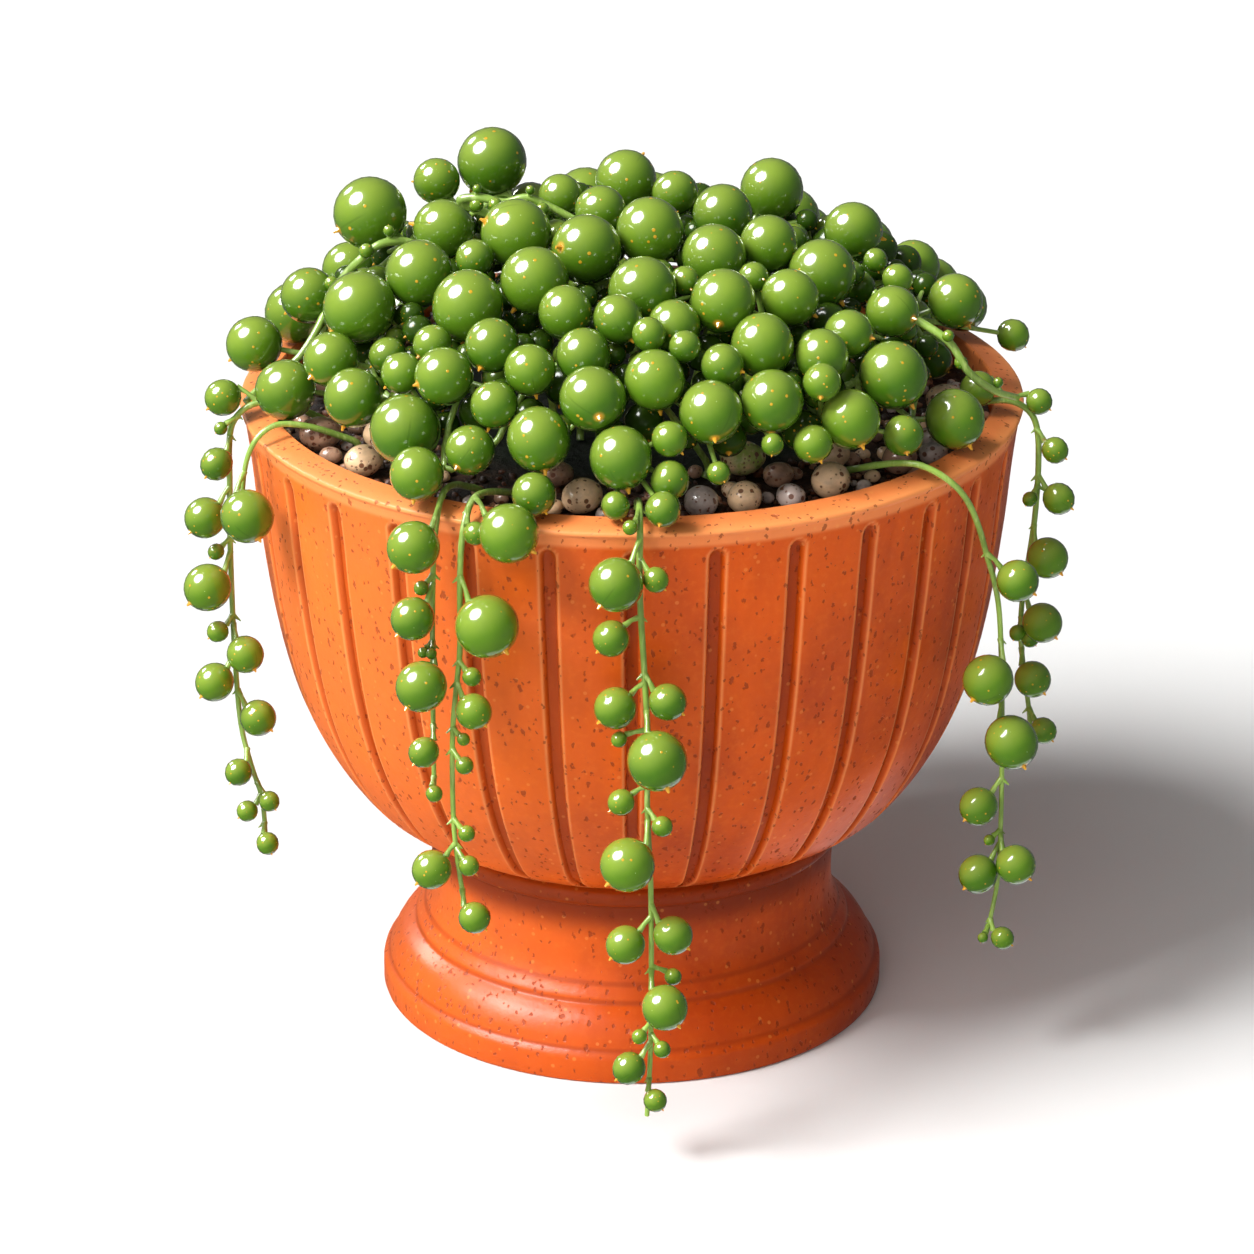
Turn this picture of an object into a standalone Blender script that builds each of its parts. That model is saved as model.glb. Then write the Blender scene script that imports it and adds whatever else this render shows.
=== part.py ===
"""Potted string of pearls: a fluted terracotta bowl on a foot, with soil, pebbles and a trailing succulent.

Metres, +Z up. The origin is the centre of the foot's underside, and the front faces -Y.
Bearings are in degrees about +Z from the front, positive towards +X.
"""

import math
import random

import bmesh
import bpy
from mathutils import Matrix, Vector

MM = 0.001

# ---------------------------------------------------------------- driving sizes
RIM_RADIUS = 0.060  # outer edge of the rim
POT_HEIGHT = 0.100  # floor to the rim's top
FOOT_RADIUS = 0.0396
FOOT_HEIGHT = 0.030  # floor to where the bowl starts
NECK_RADIUS = 0.0318
WALL = 0.0045
FLUTES = 30
FLUTE_DEPTH = 0.0012
FLUTE_BAND = 0.003  # plain band between the flutes and the rim's edge
DRAIN_RADIUS = 0.004

SOIL_BELOW_RIM = 0.0045
SOIL_CROWN = 0.0025  # how much higher the soil is in the middle
SEAT_GAP = 0.0003  # between a piece and what it rests on
SOIL_GAP = 0.0004  # round the soil, inside the wall

STEM_RADIUS = 0.0006
CREEPING_RADIUS = 0.0006  # stems inside the mound
PETIOLE_RADIUS = 0.00042
PETIOLE_LENGTH = 0.0006  # clear length between a stem and a pearl
PEARL_SCALE = 1.0
PEARL_GAP = 0.0004  # between neighbouring pearls of different stems
PEBBLE_SCALE = 1.0

COLUMNS = 2 * FLUTES  # columns of faces round the pot

# ---------------------------------------------------------------- the mound of pearls
# bearing, reach as a percentage of the rim's radius, rise above the rim in mm, diameter in mm
MOUND = [
    (-133, 50, 29, 10.5), (-90, 8, 28, 7.6), (15, 17, 28, 10.0), (-121, 58, 27, 7.1), (95, 23, 27, 9.1),
    (150, 22, 27, 7.0),
    (-133, 25, 27, 6.6), (-24, 28, 27, 10.3), (-177, 30, 27, 9.3), (-65, 32, 27, 10.4),
    (38, 33, 26, 9.4), (64, 38, 26, 8.5), (127, 45, 26, 9.6), (-101, 68, 25, 10.9), (-31, 47, 25, 9.9),
    (3, 47, 25, 9.8), (-96, 48, 24, 9.0), (63, 53, 23, 10.0), (24, 57, 23, 9.4), (99, 57, 23, 8.8),
    (-16, 57, 23, 7.8), (42, 58, 23, 8.4), (-67, 58, 22, 9.9), (10, 60, 22, 7.6), (-42, 60, 22, 10.5),
    (-6, 62, 22, 7.1), (28, 68, 20, 9.2), (-10, 70, 19, 8.0), (-28, 72, 19, 7.9), (62, 73, 19, 7.7),
    (-66, 73, 19, 10.6), (47, 73, 18, 7.2), (36, 75, 18, 7.9), (-18, 75, 18, 7.5), (4, 78, 17, 8.8),
    (-7, 80, 16, 9.5), (85, 82, 15, 8.3), (-34, 82, 15, 8.4), (-88, 82, 15, 8.4), (14, 83, 14, 9.2),
    (49, 83, 14, 10.0), (22, 83, 14, 9.1), (-22, 85, 13, 6.8), (-61, 85, 13, 8.0), (-15, 87, 11, 9.2),
    (-51, 88, 10, 8.5), (37, 88, 10, 8.7), (-37, 88, 10, 10.3), (-25, 90, 9, 7.2), (-2, 90, 9, 8.9),
    (-86, 96, 8, 8.4), (-70, 92, 6, 9.0), (59, 93, 5, 8.7), (-30, 98, 4, 7.7),
]
# the mound's back: first bearing, last bearing, reach (percent), rise (mm), spacing (mm)
BACK_ROWS = [
    (150, 215, 47, 20.5, 11.5),
    (124, 226, 68, 15.5, 11.5),
    (118, 242, 84, 10, 11.5),
    (112, 252, 93, 4.5, 12.5),
]
BACK_DIAMETERS = (7.5, 10)
# creeping stems: how many in each ring, the reach of its first and last pearl, and where the ring roots
RINGS = [(5, 0, 48, 12), (8, 48, 76, 34), (10, 76, 200, 58)]
MOUND_CENTRE = 0.006  # height above the rim of the point that the pearls face away from
STEM_DEPTH = 0.0074  # from a mound pearl's middle down to its stem

# ---------------------------------------------------------------- the trailing stems
# Each has the way its pearls spread, its route as (bearing, mm outside the rim, height as a percentage
# of the pot's), and its pearls as (height in percent, mm to the side, diameter in mm).
TRAILING = {
    "strand_left_outer": {
        "facing": 0,
        "route": [(-75, -13, 0), (-75, -8, 101), (-76, -2, 102.2), (-76, 2.2, 99), (-76, 2.8, 90), (-76, 3, 73),
                  (-76, 2.2, 50), (-75, -0.5, 38), (-75, -1, 31)],
        "pearls": [(103, -5.4, 5.6), (94, -1.7, 5.1), (85, -3.6, 6.4), (74, -3.4, 7.3), (63, 1.9, 5.8),
                   (58, -3.2, 6.0), (52, 3.0, 5.7), (43, -1.8, 4.3), (31, 0.5, 3.6)],
    },
    "strand_left_inner": {
        "facing": 0,
        "route": [(-64, -14, 0), (-65, -8, 101), (-66, -2, 102.2), (-66, 1.8, 99.8), (-67, 3, 95), (-67, 3.4, 91)],
        "pearls": [(90, 1.0, 8.1)],
    },
    "strand_front_left": {
        "facing": 0,
        "route": [(-29, -14, 0), (-29, -8, 101), (-28, -2, 102.2), (-27, 2.2, 99), (-27, 3.5, 91), (-27, 4, 75),
                  (-27, 4, 57)],
        "pearls": [(97, -3.0, 7.8), (86, -2.8, 6.5), (76, -1.5, 7.6), (65, -1.3, 4.7), (58, 0.1, 2.6)],
    },
    "strand_front_left_long": {
        "facing": 0,
        "route": [(-22, -15, 0), (-22, -8, 101), (-23, -2, 102.2), (-23, 2.2, 99), (-23, 3.6, 91), (-23, 4, 80),
                  (-24, 4.3, 68), (-24, 4.3, 52), (-23, 3.5, 40)],
        "pearls": [(100, 8.0, 8.8), (86, 4.0, 9.4), (72, 2.8, 5.5), (46, -3.9, 5.9), (39, 1.6, 4.9)],
    },
    "strand_front_centre": {
        "facing": 0,
        "route": [(1, -15, 0), (1, -8, 101), (1, -2, 102.2), (1, 2.2, 99), (1, 3, 90), (2, 2.6, 70), (2, 2.6, 57),
                  (2.5, 3, 43), (2.5, 3.2, 20), (2, 3.2, 7)],
        "pearls": [(94, -3.4, 8.0), (94, 2.3, 3.9), (84, -4.5, 5.5), (73, -4.5, 6.4), (75, 3.2, 5.6),
                   (67, 1.4, 8.9), (58, -3.8, 4.2), (50, -3.2, 8.2), (36, -3.8, 5.9), (38, 3.2, 5.9),
                   (27, 2.0, 6.9), (16, -3.1, 5.1), (11, 1.0, 3.6)],
    },
    "strand_right_inner": {
        "facing": 0,
        "route": [(43, -15, 0), (44, -8, 101), (46, -2, 102.2), (49, 2, 99.5), (53, 2.8, 94), (57, 3, 85),
                  (60, 3.5, 75), (61, 4, 54), (61, 4, 32), (60, 2.6, 21)],
        "pearls": [(82, 3.6, 6.4), (66, -2.3, 7.8), (56, 1.1, 8.2), (44, -3.6, 5.9), (35, 2.3, 6.1),
                   (33, -3.3, 6.1), (22, 2.3, 3.7)],
    },
    "strand_right_outer": {
        "facing": 0,
        "route": [(75, -14, 0), (76, -8, 101), (77, -2, 102.2), (78, 2.0, 99.5), (78, 3, 93), (78, 2.6, 82),
                  (78, 1.2, 70), (78, 1.2, 62), (78, 2.6, 52), (78, 3, 48)],
        "pearls": [(104, -4.4, 5.6), (102, 4.4, 4.1), (95, 2.4, 4.2), (87, 3.2, 5.0), (78, 2.4, 6.4),
                   (67, 3.0, 6.3), (58, 1.1, 5.7), (49, 1.9, 4.2)],
    },
    "strand_back_right": {
        "facing": 150,
        "route": [(148, -14, 0), (149, -8, 101), (150, -2, 102.2), (150, 2.2, 99), (151, 3.2, 88), (152, 3.2, 66),
                  (151, 2.8, 48)],
        "pearls": [(96, -3.2, 7.2), (88, 3.6, 6.2), (79, -3.6, 6.8), (72, 3.0, 5.0), (65, -2.8, 5.6),
                   (59, 2.4, 4.4), (53, -2.0, 3.6), (47, 0.6, 3.4)],
    },
    "strand_back_centre": {
        "facing": 180,
        "route": [(180, -14, 0), (180, -8, 101), (180, -2, 102.2), (180, 2.4, 99), (179, 4, 88), (178, 4.2, 62),
                  (179, 3.6, 32)],
        "pearls": [(95, 3.4, 6.8), (86, -3.8, 7.4), (77, 3.6, 6.4), (70, -3.0, 5.2), (62, 3.8, 7.2),
                   (54, -3.2, 5.8), (47, 2.8, 4.8), (41, -2.2, 3.8), (31, -0.5, 3.6)],
    },
    "strand_back_left": {
        "facing": 216,
        "route": [(-144, -14, 0), (-144, -8, 101), (-144, -2, 102.2), (-144, 2.2, 99), (-143, 3.2, 90),
                  (-142, 3.2, 70), (-143, 2.8, 56)],
        "pearls": [(94, 3.2, 6.6), (86, -3.4, 6.2), (78, 3.4, 7.0), (71, -2.6, 4.6), (65, 2.4, 4.6),
                   (56, 0.5, 4.0)],
    },
}

# ---------------------------------------------------------------- pebbles on the soil
# bearing, reach as a percentage of the rim's radius, length in mm, turn in degrees
PEBBLES = [
    (-68, 84, 6.8, 20), (-63, 71, 5.7, 75), (-53, 83, 6.4, 40), (-43, 81, 6.4, 100), (-9, 77, 6.9, 60),
    (-17, 64, 5.4, 10), (12, 80, 6.2, 95), (20, 80, 6.2, 80), (28, 82, 5.0, 120), (31, 70, 5.0, 30),
    (37, 81, 7.0, 70), (27, 60, 7.0, 15), (47, 68, 5.2, 160), (54, 82, 6.2, 65), (65, 82, 5.4, 110),
    (85, 80, 6.4, 40), (105, 80, 7.0, 0), (124, 80, 6.0, 60), (163, 81, 6.6, 90), (193, 80, 7.2, 20),
    (230, 80, 6.4, 70), (250, 81, 6.8, 130), (266, 79, 5.8, 15),
]
PEBBLE_WIDTH = 0.82  # of the length
PEBBLE_THICKNESS = 0.74


# ---------------------------------------------------------------- shared helpers
def clear_scene():
    for thing in list(bpy.data.objects):
        bpy.data.objects.remove(thing, do_unlink=True)


def material(name, colour, roughness, metallic=0.0):
    made = bpy.data.materials.new(name)
    made.use_nodes = True
    shader = made.node_tree.nodes["Principled BSDF"]
    shader.inputs["Base Color"].default_value = (*colour, 1)
    shader.inputs["Roughness"].default_value = roughness
    shader.inputs["Metallic"].default_value = metallic
    return made


def add_object(name, shape, finish):
    """Puts a bmesh in the scene as one smooth-shaded object."""
    mesh = bpy.data.meshes.new(name)
    shape.to_mesh(mesh)
    shape.free()
    mesh.materials.append(finish)
    mesh.shade_smooth()
    mesh.set_sharp_from_angle(angle=math.radians(40))
    made = bpy.data.objects.new(name, mesh)
    bpy.context.collection.objects.link(made)
    return made


def at(bearing, reach, height):
    turn = math.radians(bearing)
    return Vector((reach * math.sin(turn), -reach * math.cos(turn), height))


def turned(profile, columns):
    """Spins a closed outline of (radius, height) points about the vertical axis."""
    shape = bmesh.new()
    corners = [shape.verts.new((radius, 0, height)) for radius, height in profile]
    edges = [shape.edges.new((a, b)) for a, b in zip(corners, corners[1:] + corners[:1])]
    bmesh.ops.spin(shape, geom=corners + edges, cent=(0, 0, 0), axis=(0, 0, 1), angle=2 * math.pi,
                   steps=columns, use_merge=True, use_duplicate=False)
    bmesh.ops.recalc_face_normals(shape, faces=shape.faces)
    return shape


def smooth_route(points, pieces):
    """Points along one smooth curve through the given ones, with so many pieces between neighbours."""
    ends = [2 * points[0] - points[1], *points, 2 * points[-1] - points[-2]]
    route = []
    for before, here, there, after in zip(ends, ends[1:], ends[2:], ends[3:]):
        for step in range(pieces):
            t = step / pieces
            route.append(0.5 * (2 * here + (there - before) * t + (2 * before - 5 * here + 4 * there - after) * t**2
                                + (3 * here - before - 3 * there + after) * t**3))
    return [*route, points[-1]]


def tube(route, radius):
    """A bmesh tube with four sides and closed ends along a route."""
    curve = bpy.data.curves.new("tube", "CURVE")
    curve.dimensions = "3D"
    curve.bevel_depth = radius
    curve.bevel_resolution = 0
    curve.use_fill_caps = True
    spline = curve.splines.new("POLY")
    spline.points.add(len(route) - 1)
    for spot, place in zip(spline.points, route):
        spot.co = (*place, 1)
    holder = bpy.data.objects.new("tube", curve)
    bpy.context.collection.objects.link(holder)
    bpy.context.view_layer.update()
    mesh = bpy.data.meshes.new_from_object(holder.evaluated_get(bpy.context.evaluated_depsgraph_get()))
    shape = bmesh.new()
    shape.from_mesh(mesh)
    bmesh.ops.remove_doubles(shape, verts=shape.verts, dist=1e-7)
    bpy.data.objects.remove(holder)
    bpy.data.curves.remove(curve)
    bpy.data.meshes.remove(mesh)
    return shape


def add_rod(shape, start, end, radius):
    """A four-sided rod from just behind start to end."""
    start = start - (end - start).normalized() * radius / 2
    way = end - start
    turn = way.to_track_quat("Z", "Y").to_matrix().to_4x4()
    bmesh.ops.create_cone(shape, cap_ends=True, segments=4, radius1=radius, radius2=radius, depth=way.length,
                          matrix=Matrix.Translation((start + end) / 2) @ turn)


def add_pearl(shape, centre, radius):
    """A round leaf, with fewer faces the smaller it is."""
    place = Matrix.Translation(centre)
    if radius < 3.5 * MM:
        bmesh.ops.create_icosphere(shape, subdivisions=1, radius=radius, matrix=place)
    else:
        bmesh.ops.create_uvsphere(shape, u_segments=6, v_segments=4, radius=radius, matrix=place)


def unite(base, extra, name):
    """Joins another bmesh's bodies to an object as one solid."""
    cutter = add_object(name, extra, base.data.materials[0])
    cutter.hide_render = True
    cutter.display_type = "WIRE"
    union = base.modifiers.new(name, "BOOLEAN")
    union.operation = "UNION"
    union.solver = "EXACT"
    union.object = cutter


# ---------------------------------------------------------------- pot
BOWL = [(0.33, 0.08), (0.6, 0.24), (0.82, 0.44), (0.95, 0.74)]  # shares of the bowl's width and height


def pot_outline():
    """The pot's section as a closed loop, up the outside and down the inside."""
    foot, neck, rim, top = FOOT_RADIUS, NECK_RADIUS, RIM_RADIUS, POT_HEIGHT
    start = FOOT_HEIGHT + 0.001
    flutes_end = top - FLUTE_BAND - 0.001
    width = rim - 0.0012 - neck - 0.0025
    bowl = [(neck + 0.0025 + across * width, start + up * (flutes_end - start)) for across, up in BOWL]
    outside = [
        (foot, 0), (foot, 0.004), (foot - 0.0047, 0.0105), (foot - 0.0053, 0.0118), (neck, 0.018),
        (neck + 0.0002, FOOT_HEIGHT - 0.0035), (neck + 0.0016, FOOT_HEIGHT - 0.0018),
        (neck + 0.0025, start), *bowl, (rim - 0.0012, flutes_end), (rim, top - 0.0011), (rim - WALL, top),
    ]
    inside = [(radius - WALL, height + 0.3 * WALL) for radius, height in reversed(bowl[1:])]
    floor = FOOT_HEIGHT + 0.004
    return [
        (DRAIN_RADIUS, floor - WALL), (neck - WALL - 0.004, floor - WALL - 0.001), (foot - 0.0066, 0),
        *outside, *inside, (neck - 0.004, floor), (DRAIN_RADIUS, floor),
    ]


def build_pot(finish):
    shape = turned(pot_outline(), COLUMNS)
    cut_flutes(shape)
    return add_object("pot", shape, finish)


def cut_flutes(shape):
    """Sinks every second column of the bowl's outside, which leaves a groove between each pair of ribs."""
    bottom, top = FOOT_HEIGHT + 0.002, POT_HEIGHT - FLUTE_BAND - 0.002
    for corner in shape.verts:
        radius = corner.co.xy.length
        column = round(math.degrees(math.atan2(corner.co.x, -corner.co.y)) / (360 / COLUMNS))
        if column % 2 == 0 and bottom < corner.co.z < top and radius > inner_radius(corner.co.z) + WALL / 2:
            corner.co.xy *= (radius - FLUTE_DEPTH) / radius


def inner_radius(height):
    """The radius of the pot's inside wall at a height."""
    loop = pot_outline()
    rim = loop.index((RIM_RADIUS - WALL, POT_HEIGHT))
    wall = loop[rim:]
    for (r1, z1), (r2, z2) in zip(wall, wall[1:]):
        if z2 <= height <= z1:
            return r2 if z1 == z2 else r2 + (r1 - r2) * (height - z2) / (z1 - z2)
    return wall[0][0]


# ---------------------------------------------------------------- soil
def soil_height(reach):
    edge = POT_HEIGHT - SOIL_BELOW_RIM
    return edge + SOIL_CROWN * (1 - (reach / (RIM_RADIUS - WALL)) ** 2)


def build_soil(finish):
    loop = pot_outline()
    rim = loop.index((RIM_RADIUS - WALL, POT_HEIGHT))
    slack = SOIL_GAP / math.cos(math.pi / COLUMNS)
    edge = POT_HEIGHT - SOIL_BELOW_RIM
    wall = [(radius - slack, height + SOIL_GAP) for radius, height in loop[rim + 1:-1] if height < edge - 0.002]
    reaches = [share * (RIM_RADIUS - WALL) for share in (0.35, 0.7, 0.9)]
    top = [(reach, soil_height(reach)) for reach in reaches]
    side = [(inner_radius(edge) - slack, edge)]
    shape = bmesh.new()
    outline = [(0, soil_height(0)), *top, *side, *wall, (0, wall[-1][1])]
    corners = [shape.verts.new((radius, 0, height)) for radius, height in outline]
    edges = [shape.edges.new(pair) for pair in zip(corners, corners[1:])]
    bmesh.ops.spin(shape, geom=corners + edges, cent=(0, 0, 0), axis=(0, 0, 1), angle=2 * math.pi,
                   steps=FLUTES, use_merge=True, use_duplicate=False)
    bmesh.ops.remove_doubles(shape, verts=shape.verts, dist=1e-6)
    bmesh.ops.recalc_face_normals(shape, faces=shape.faces)
    return add_object("soil", shape, finish)


# ---------------------------------------------------------------- pebbles
def pebble_seat(bearing, reach, length):
    """Where a pebble's middle goes so that it lies on the soil."""
    half = PEBBLE_THICKNESS * length / 2
    return at(bearing, reach, soil_height(reach) + half + 2 * SEAT_GAP)


def pebble_places():
    for bearing, percent, length, turn in PEBBLES:
        size = length * MM * PEBBLE_SCALE
        reach = percent / 100 * RIM_RADIUS
        limit = inner_radius(POT_HEIGHT - SOIL_BELOW_RIM) - size / 2 - SEAT_GAP
        yield pebble_seat(bearing, min(reach, limit), size), size, turn


def build_pebbles(finishes):
    for number, (centre, size, turn) in enumerate(pebble_places(), 1):
        shape = bmesh.new()
        bmesh.ops.create_uvsphere(shape, u_segments=7, v_segments=4, radius=size / 2)
        stretch = Matrix.Diagonal((1, PEBBLE_WIDTH, PEBBLE_THICKNESS, 1))
        bmesh.ops.transform(shape, verts=shape.verts,
                            matrix=Matrix.Translation(centre) @ Matrix.Rotation(math.radians(turn), 4, "Z") @ stretch)
        add_object(f"pebble_{number:02d}", shape, finishes[number % len(finishes)])


# ---------------------------------------------------------------- trailing stems
def stem_route(strand):
    """A trailing stem's points: straight up out of the soil, over the rim and down outside the bowl."""
    points = []
    for bearing, outside, percent in strand["route"]:
        reach = RIM_RADIUS + outside * MM
        height = percent / 100 * POT_HEIGHT
        if percent > 98.5:
            height = POT_HEIGHT + (percent - 100) * MM
        points.append(at(bearing, reach, height))
    root = points[0]
    root.z = soil_height(root.xy.length) + 2 * SEAT_GAP
    knee = root + Vector((0, 0, 2 * STEM_RADIUS))
    return [root, *smooth_route([knee, *points[1:]], 2)]


def height_on(route, height):
    """The point where a hanging stem passes a height, from its free end up."""
    for low, high in zip(reversed(route), reversed(route[:-1])):
        if low.z <= height <= high.z:
            return low.lerp(high, (height - low.z) / (high.z - low.z))
    return route[-1].copy() if height < route[-1].z else max(route, key=lambda point: point.z).copy()


def hanging_pearls(strand, route):
    """Each pearl's middle, radius and the point where its stalk leaves the stem."""
    turn = math.radians(strand["facing"])
    side, front = Vector((math.cos(turn), math.sin(turn), 0)), Vector((math.sin(turn), -math.cos(turn), 0))
    pearls = []
    for percent, across, diameter in strand["pearls"]:
        radius = diameter * PEARL_SCALE * MM / 2
        height = POT_HEIGHT * percent / 100
        on_stem = height_on(route, height)
        clear = radius + STEM_RADIUS + PETIOLE_LENGTH
        forward = math.sqrt(max(0, clear**2 - (across * MM) ** 2))
        centre = on_stem + side * across * MM + front * forward
        centre.z = height
        pearls.append((keep_off_pot(centre, radius), radius, height_on(route, height + radius / 3)))
    return pearls


def keep_off_pot(centre, radius):
    """Moves a hanging pearl outwards until it clears the pot's rim."""
    least = RIM_RADIUS + radius + SEAT_GAP
    reach = centre.xy.length
    beside_rim = POT_HEIGHT - 0.016 < centre.z < POT_HEIGHT + radius + SEAT_GAP
    if beside_rim and reach < least:
        centre.xy *= least / reach
    return centre


def build_strand(name, route, radius, pearls, finish):
    """One stem with its stalks and pearls, as one solid."""
    base = add_object(name, tube(route, radius), finish)
    stalks, leaves = bmesh.new(), bmesh.new()
    for centre, size, start in pearls:
        add_rod(stalks, start, centre, PETIOLE_RADIUS)
        add_pearl(leaves, centre, size)
    unite(base, stalks, name + "_stalks")
    unite(base, leaves, name + "_pearls")
    return base


# ---------------------------------------------------------------- mound
def mound_pearls():
    """Every mound pearl's wished place and radius: the chosen ones, then the back's rows."""
    wished = [(at(bearing, percent / 100 * RIM_RADIUS, POT_HEIGHT + rise * MM), diameter * PEARL_SCALE * MM / 2)
              for bearing, percent, rise, diameter in MOUND]
    draw = random.Random(4)
    for first, last, percent, rise, spacing in BACK_ROWS:
        reach = percent / 100 * RIM_RADIUS
        count = round(math.radians(last - first) * reach / (spacing * MM * PEARL_SCALE))
        for step in range(count + 1):
            bearing = first + (last - first) * step / count + draw.uniform(-2, 2)
            height = POT_HEIGHT + (rise + draw.uniform(-1, 1)) * MM
            radius = draw.uniform(*BACK_DIAMETERS) * PEARL_SCALE * MM / 2
            wished.append((at(bearing, reach, height), radius))
    return wished


def mound_middle():
    return Vector((0, 0, POT_HEIGHT + MOUND_CENTRE))


def settle(wished, fixed):
    """Eases overlapping pearls apart and off the fixed balls, the rim and the pebbles, never inwards."""
    places = [place.copy() for place, _ in wished]
    sizes = [size for _, size in wished]
    least = [(place - mound_middle()).length for place in places]
    for _ in range(400):
        worst = 0.0
        for i, here in enumerate(places):
            for j in range(i):
                apart = here - places[j]
                lack = sizes[i] + sizes[j] + PEARL_GAP - apart.length
                if lack > 0:
                    worst = max(worst, lack)
                    push = apart.normalized() * lack * 0.52
                    here += push
                    places[j] -= push
            for ball, size in fixed:
                apart = here - ball
                lack = sizes[i] + size + PEARL_GAP - apart.length
                if lack > 0:
                    worst = max(worst, lack)
                    here += apart.normalized() * lack
        for i, here in enumerate(places):
            outwards = here - mound_middle()
            if outwards.length < least[i]:
                here += outwards.normalized() * (least[i] - outwards.length)
            floor = POT_HEIGHT + sizes[i] + SEAT_GAP
            if here.xy.length > RIM_RADIUS - WALL - 0.008:
                here.z = max(here.z, floor)
        if worst < 0.02 * MM:
            break
    return list(zip(places, sizes))


def fixed_balls(trailing, pebbles):
    """What mound pearls keep clear of: the trailing stems' tops with their pearls, and the pebbles."""
    balls = []
    for route, pearls in trailing:
        balls += [(point, STEM_RADIUS) for point in smooth_route(route, 2) if point.z > POT_HEIGHT - 0.005]
        balls += [(centre, radius) for centre, radius, _ in pearls if centre.z > POT_HEIGHT - 0.010]
    return balls + [(centre, size / 2) for centre, size, _ in pebbles]


def mound_strands(pearls):
    """Sorts the settled pearls into creeping stems, ring by ring and sector by sector."""
    strands = []
    for ring, (count, first, last, root) in enumerate(RINGS):
        for sector in range(count):
            middle = (sector + 0.5) * 360 / count
            members = []
            for place, radius in pearls:
                bearing = math.degrees(math.atan2(place.x, -place.y)) % 360
                spread = place.xy.length / RIM_RADIUS * 100
                if first <= spread < last and int(bearing / (360 / count)) == sector:
                    members.append((place, radius))
            if members:
                reach = root / 100 * RIM_RADIUS
                strands.append((f"mound_stem_{ring + 1}_{sector + 1:02d}", middle, reach, in_order(members)))
    return strands


def in_order(members):
    """The pearls of one stem, from the one nearest the middle to the nearest next one each time."""
    left = sorted(members, key=lambda pearl: pearl[0].xy.length)
    line = [left.pop(0)]
    while left:
        left.sort(key=lambda pearl: (pearl[0] - line[-1][0]).length)
        line.append(left.pop(0))
    return line


def under(place):
    """The point of a creeping stem beneath a mound pearl."""
    inwards = (mound_middle() - Vector((0, 0, 0.012)) - place).normalized()
    return place + inwards * STEM_DEPTH


def build_mound(pearls, finish):
    for name, bearing, reach, members in mound_strands(pearls):
        root = at(bearing, reach, soil_height(reach) + SEAT_GAP)
        spots = [under(place) for place, _ in members]
        knee = at(bearing, reach, root.z + 0.003)
        stalks = [(place, radius, spot) for (place, radius), spot in zip(members, spots)]
        build_strand(name, [root, knee, *spots], CREEPING_RADIUS, stalks, finish)


# ---------------------------------------------------------------- the whole part
def main():
    clear_scene()
    terracotta = material("terracotta", (0.78, 0.22, 0.05), 0.45)
    earth = material("soil", (0.035, 0.02, 0.012), 0.95)
    leaf = material("pearl_green", (0.13, 0.33, 0.03), 0.25)
    stones = [
        material("pebble_tan", (0.55, 0.38, 0.22), 0.3),
        material("pebble_grey", (0.25, 0.22, 0.2), 0.3),
        material("pebble_rust", (0.4, 0.16, 0.06), 0.3),
    ]
    build_pot(terracotta)
    build_soil(earth)
    build_pebbles(stones)
    trailing = []
    for name, strand in TRAILING.items():
        route = stem_route(strand)
        pearls = hanging_pearls(strand, route)
        trailing.append((route, pearls))
        build_strand(name, route, STEM_RADIUS, pearls, leaf)
    build_mound(settle(mound_pearls(), fixed_balls(trailing, list(pebble_places()))), leaf)


main()
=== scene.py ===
"""Potted string of pearls: the finished look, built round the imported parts.

Metres, +Z up. The front faces -Y, and bearings are in degrees about +Z from the front, positive towards +X.
"""

import math
import random

import bmesh
import bpy
from bpy.props import FloatProperty, FloatVectorProperty, IntProperty, PointerProperty
from mathutils import Matrix, Vector, noise


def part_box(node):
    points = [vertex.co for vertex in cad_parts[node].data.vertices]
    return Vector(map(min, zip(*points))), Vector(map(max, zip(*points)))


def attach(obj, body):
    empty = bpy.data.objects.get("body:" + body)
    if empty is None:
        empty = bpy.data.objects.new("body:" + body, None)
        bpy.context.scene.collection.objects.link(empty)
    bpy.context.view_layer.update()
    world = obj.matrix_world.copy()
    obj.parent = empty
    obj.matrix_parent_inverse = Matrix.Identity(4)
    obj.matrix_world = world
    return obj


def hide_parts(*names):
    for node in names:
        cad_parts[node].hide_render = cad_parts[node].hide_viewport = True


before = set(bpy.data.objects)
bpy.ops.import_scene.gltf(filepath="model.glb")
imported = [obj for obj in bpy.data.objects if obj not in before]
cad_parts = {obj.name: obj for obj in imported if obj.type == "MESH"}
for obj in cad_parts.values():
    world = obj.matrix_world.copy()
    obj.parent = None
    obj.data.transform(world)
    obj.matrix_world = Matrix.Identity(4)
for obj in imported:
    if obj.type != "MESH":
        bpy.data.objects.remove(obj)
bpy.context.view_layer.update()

bl_info = {
    "name": "Potted string of pearls",
    "version": (1, 0, 0),
    "blender": (4, 5, 0),
    "location": "3D View > Sidebar > Pearls",
    "description": "Builds the pot, soil, pebbles and trailing plant round their packed parts",
    "category": "Object",
}

MM = 0.001

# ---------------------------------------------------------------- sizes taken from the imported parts
POT_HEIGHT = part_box("pot")[1].z
RIM_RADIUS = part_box("pot")[1].x

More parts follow.
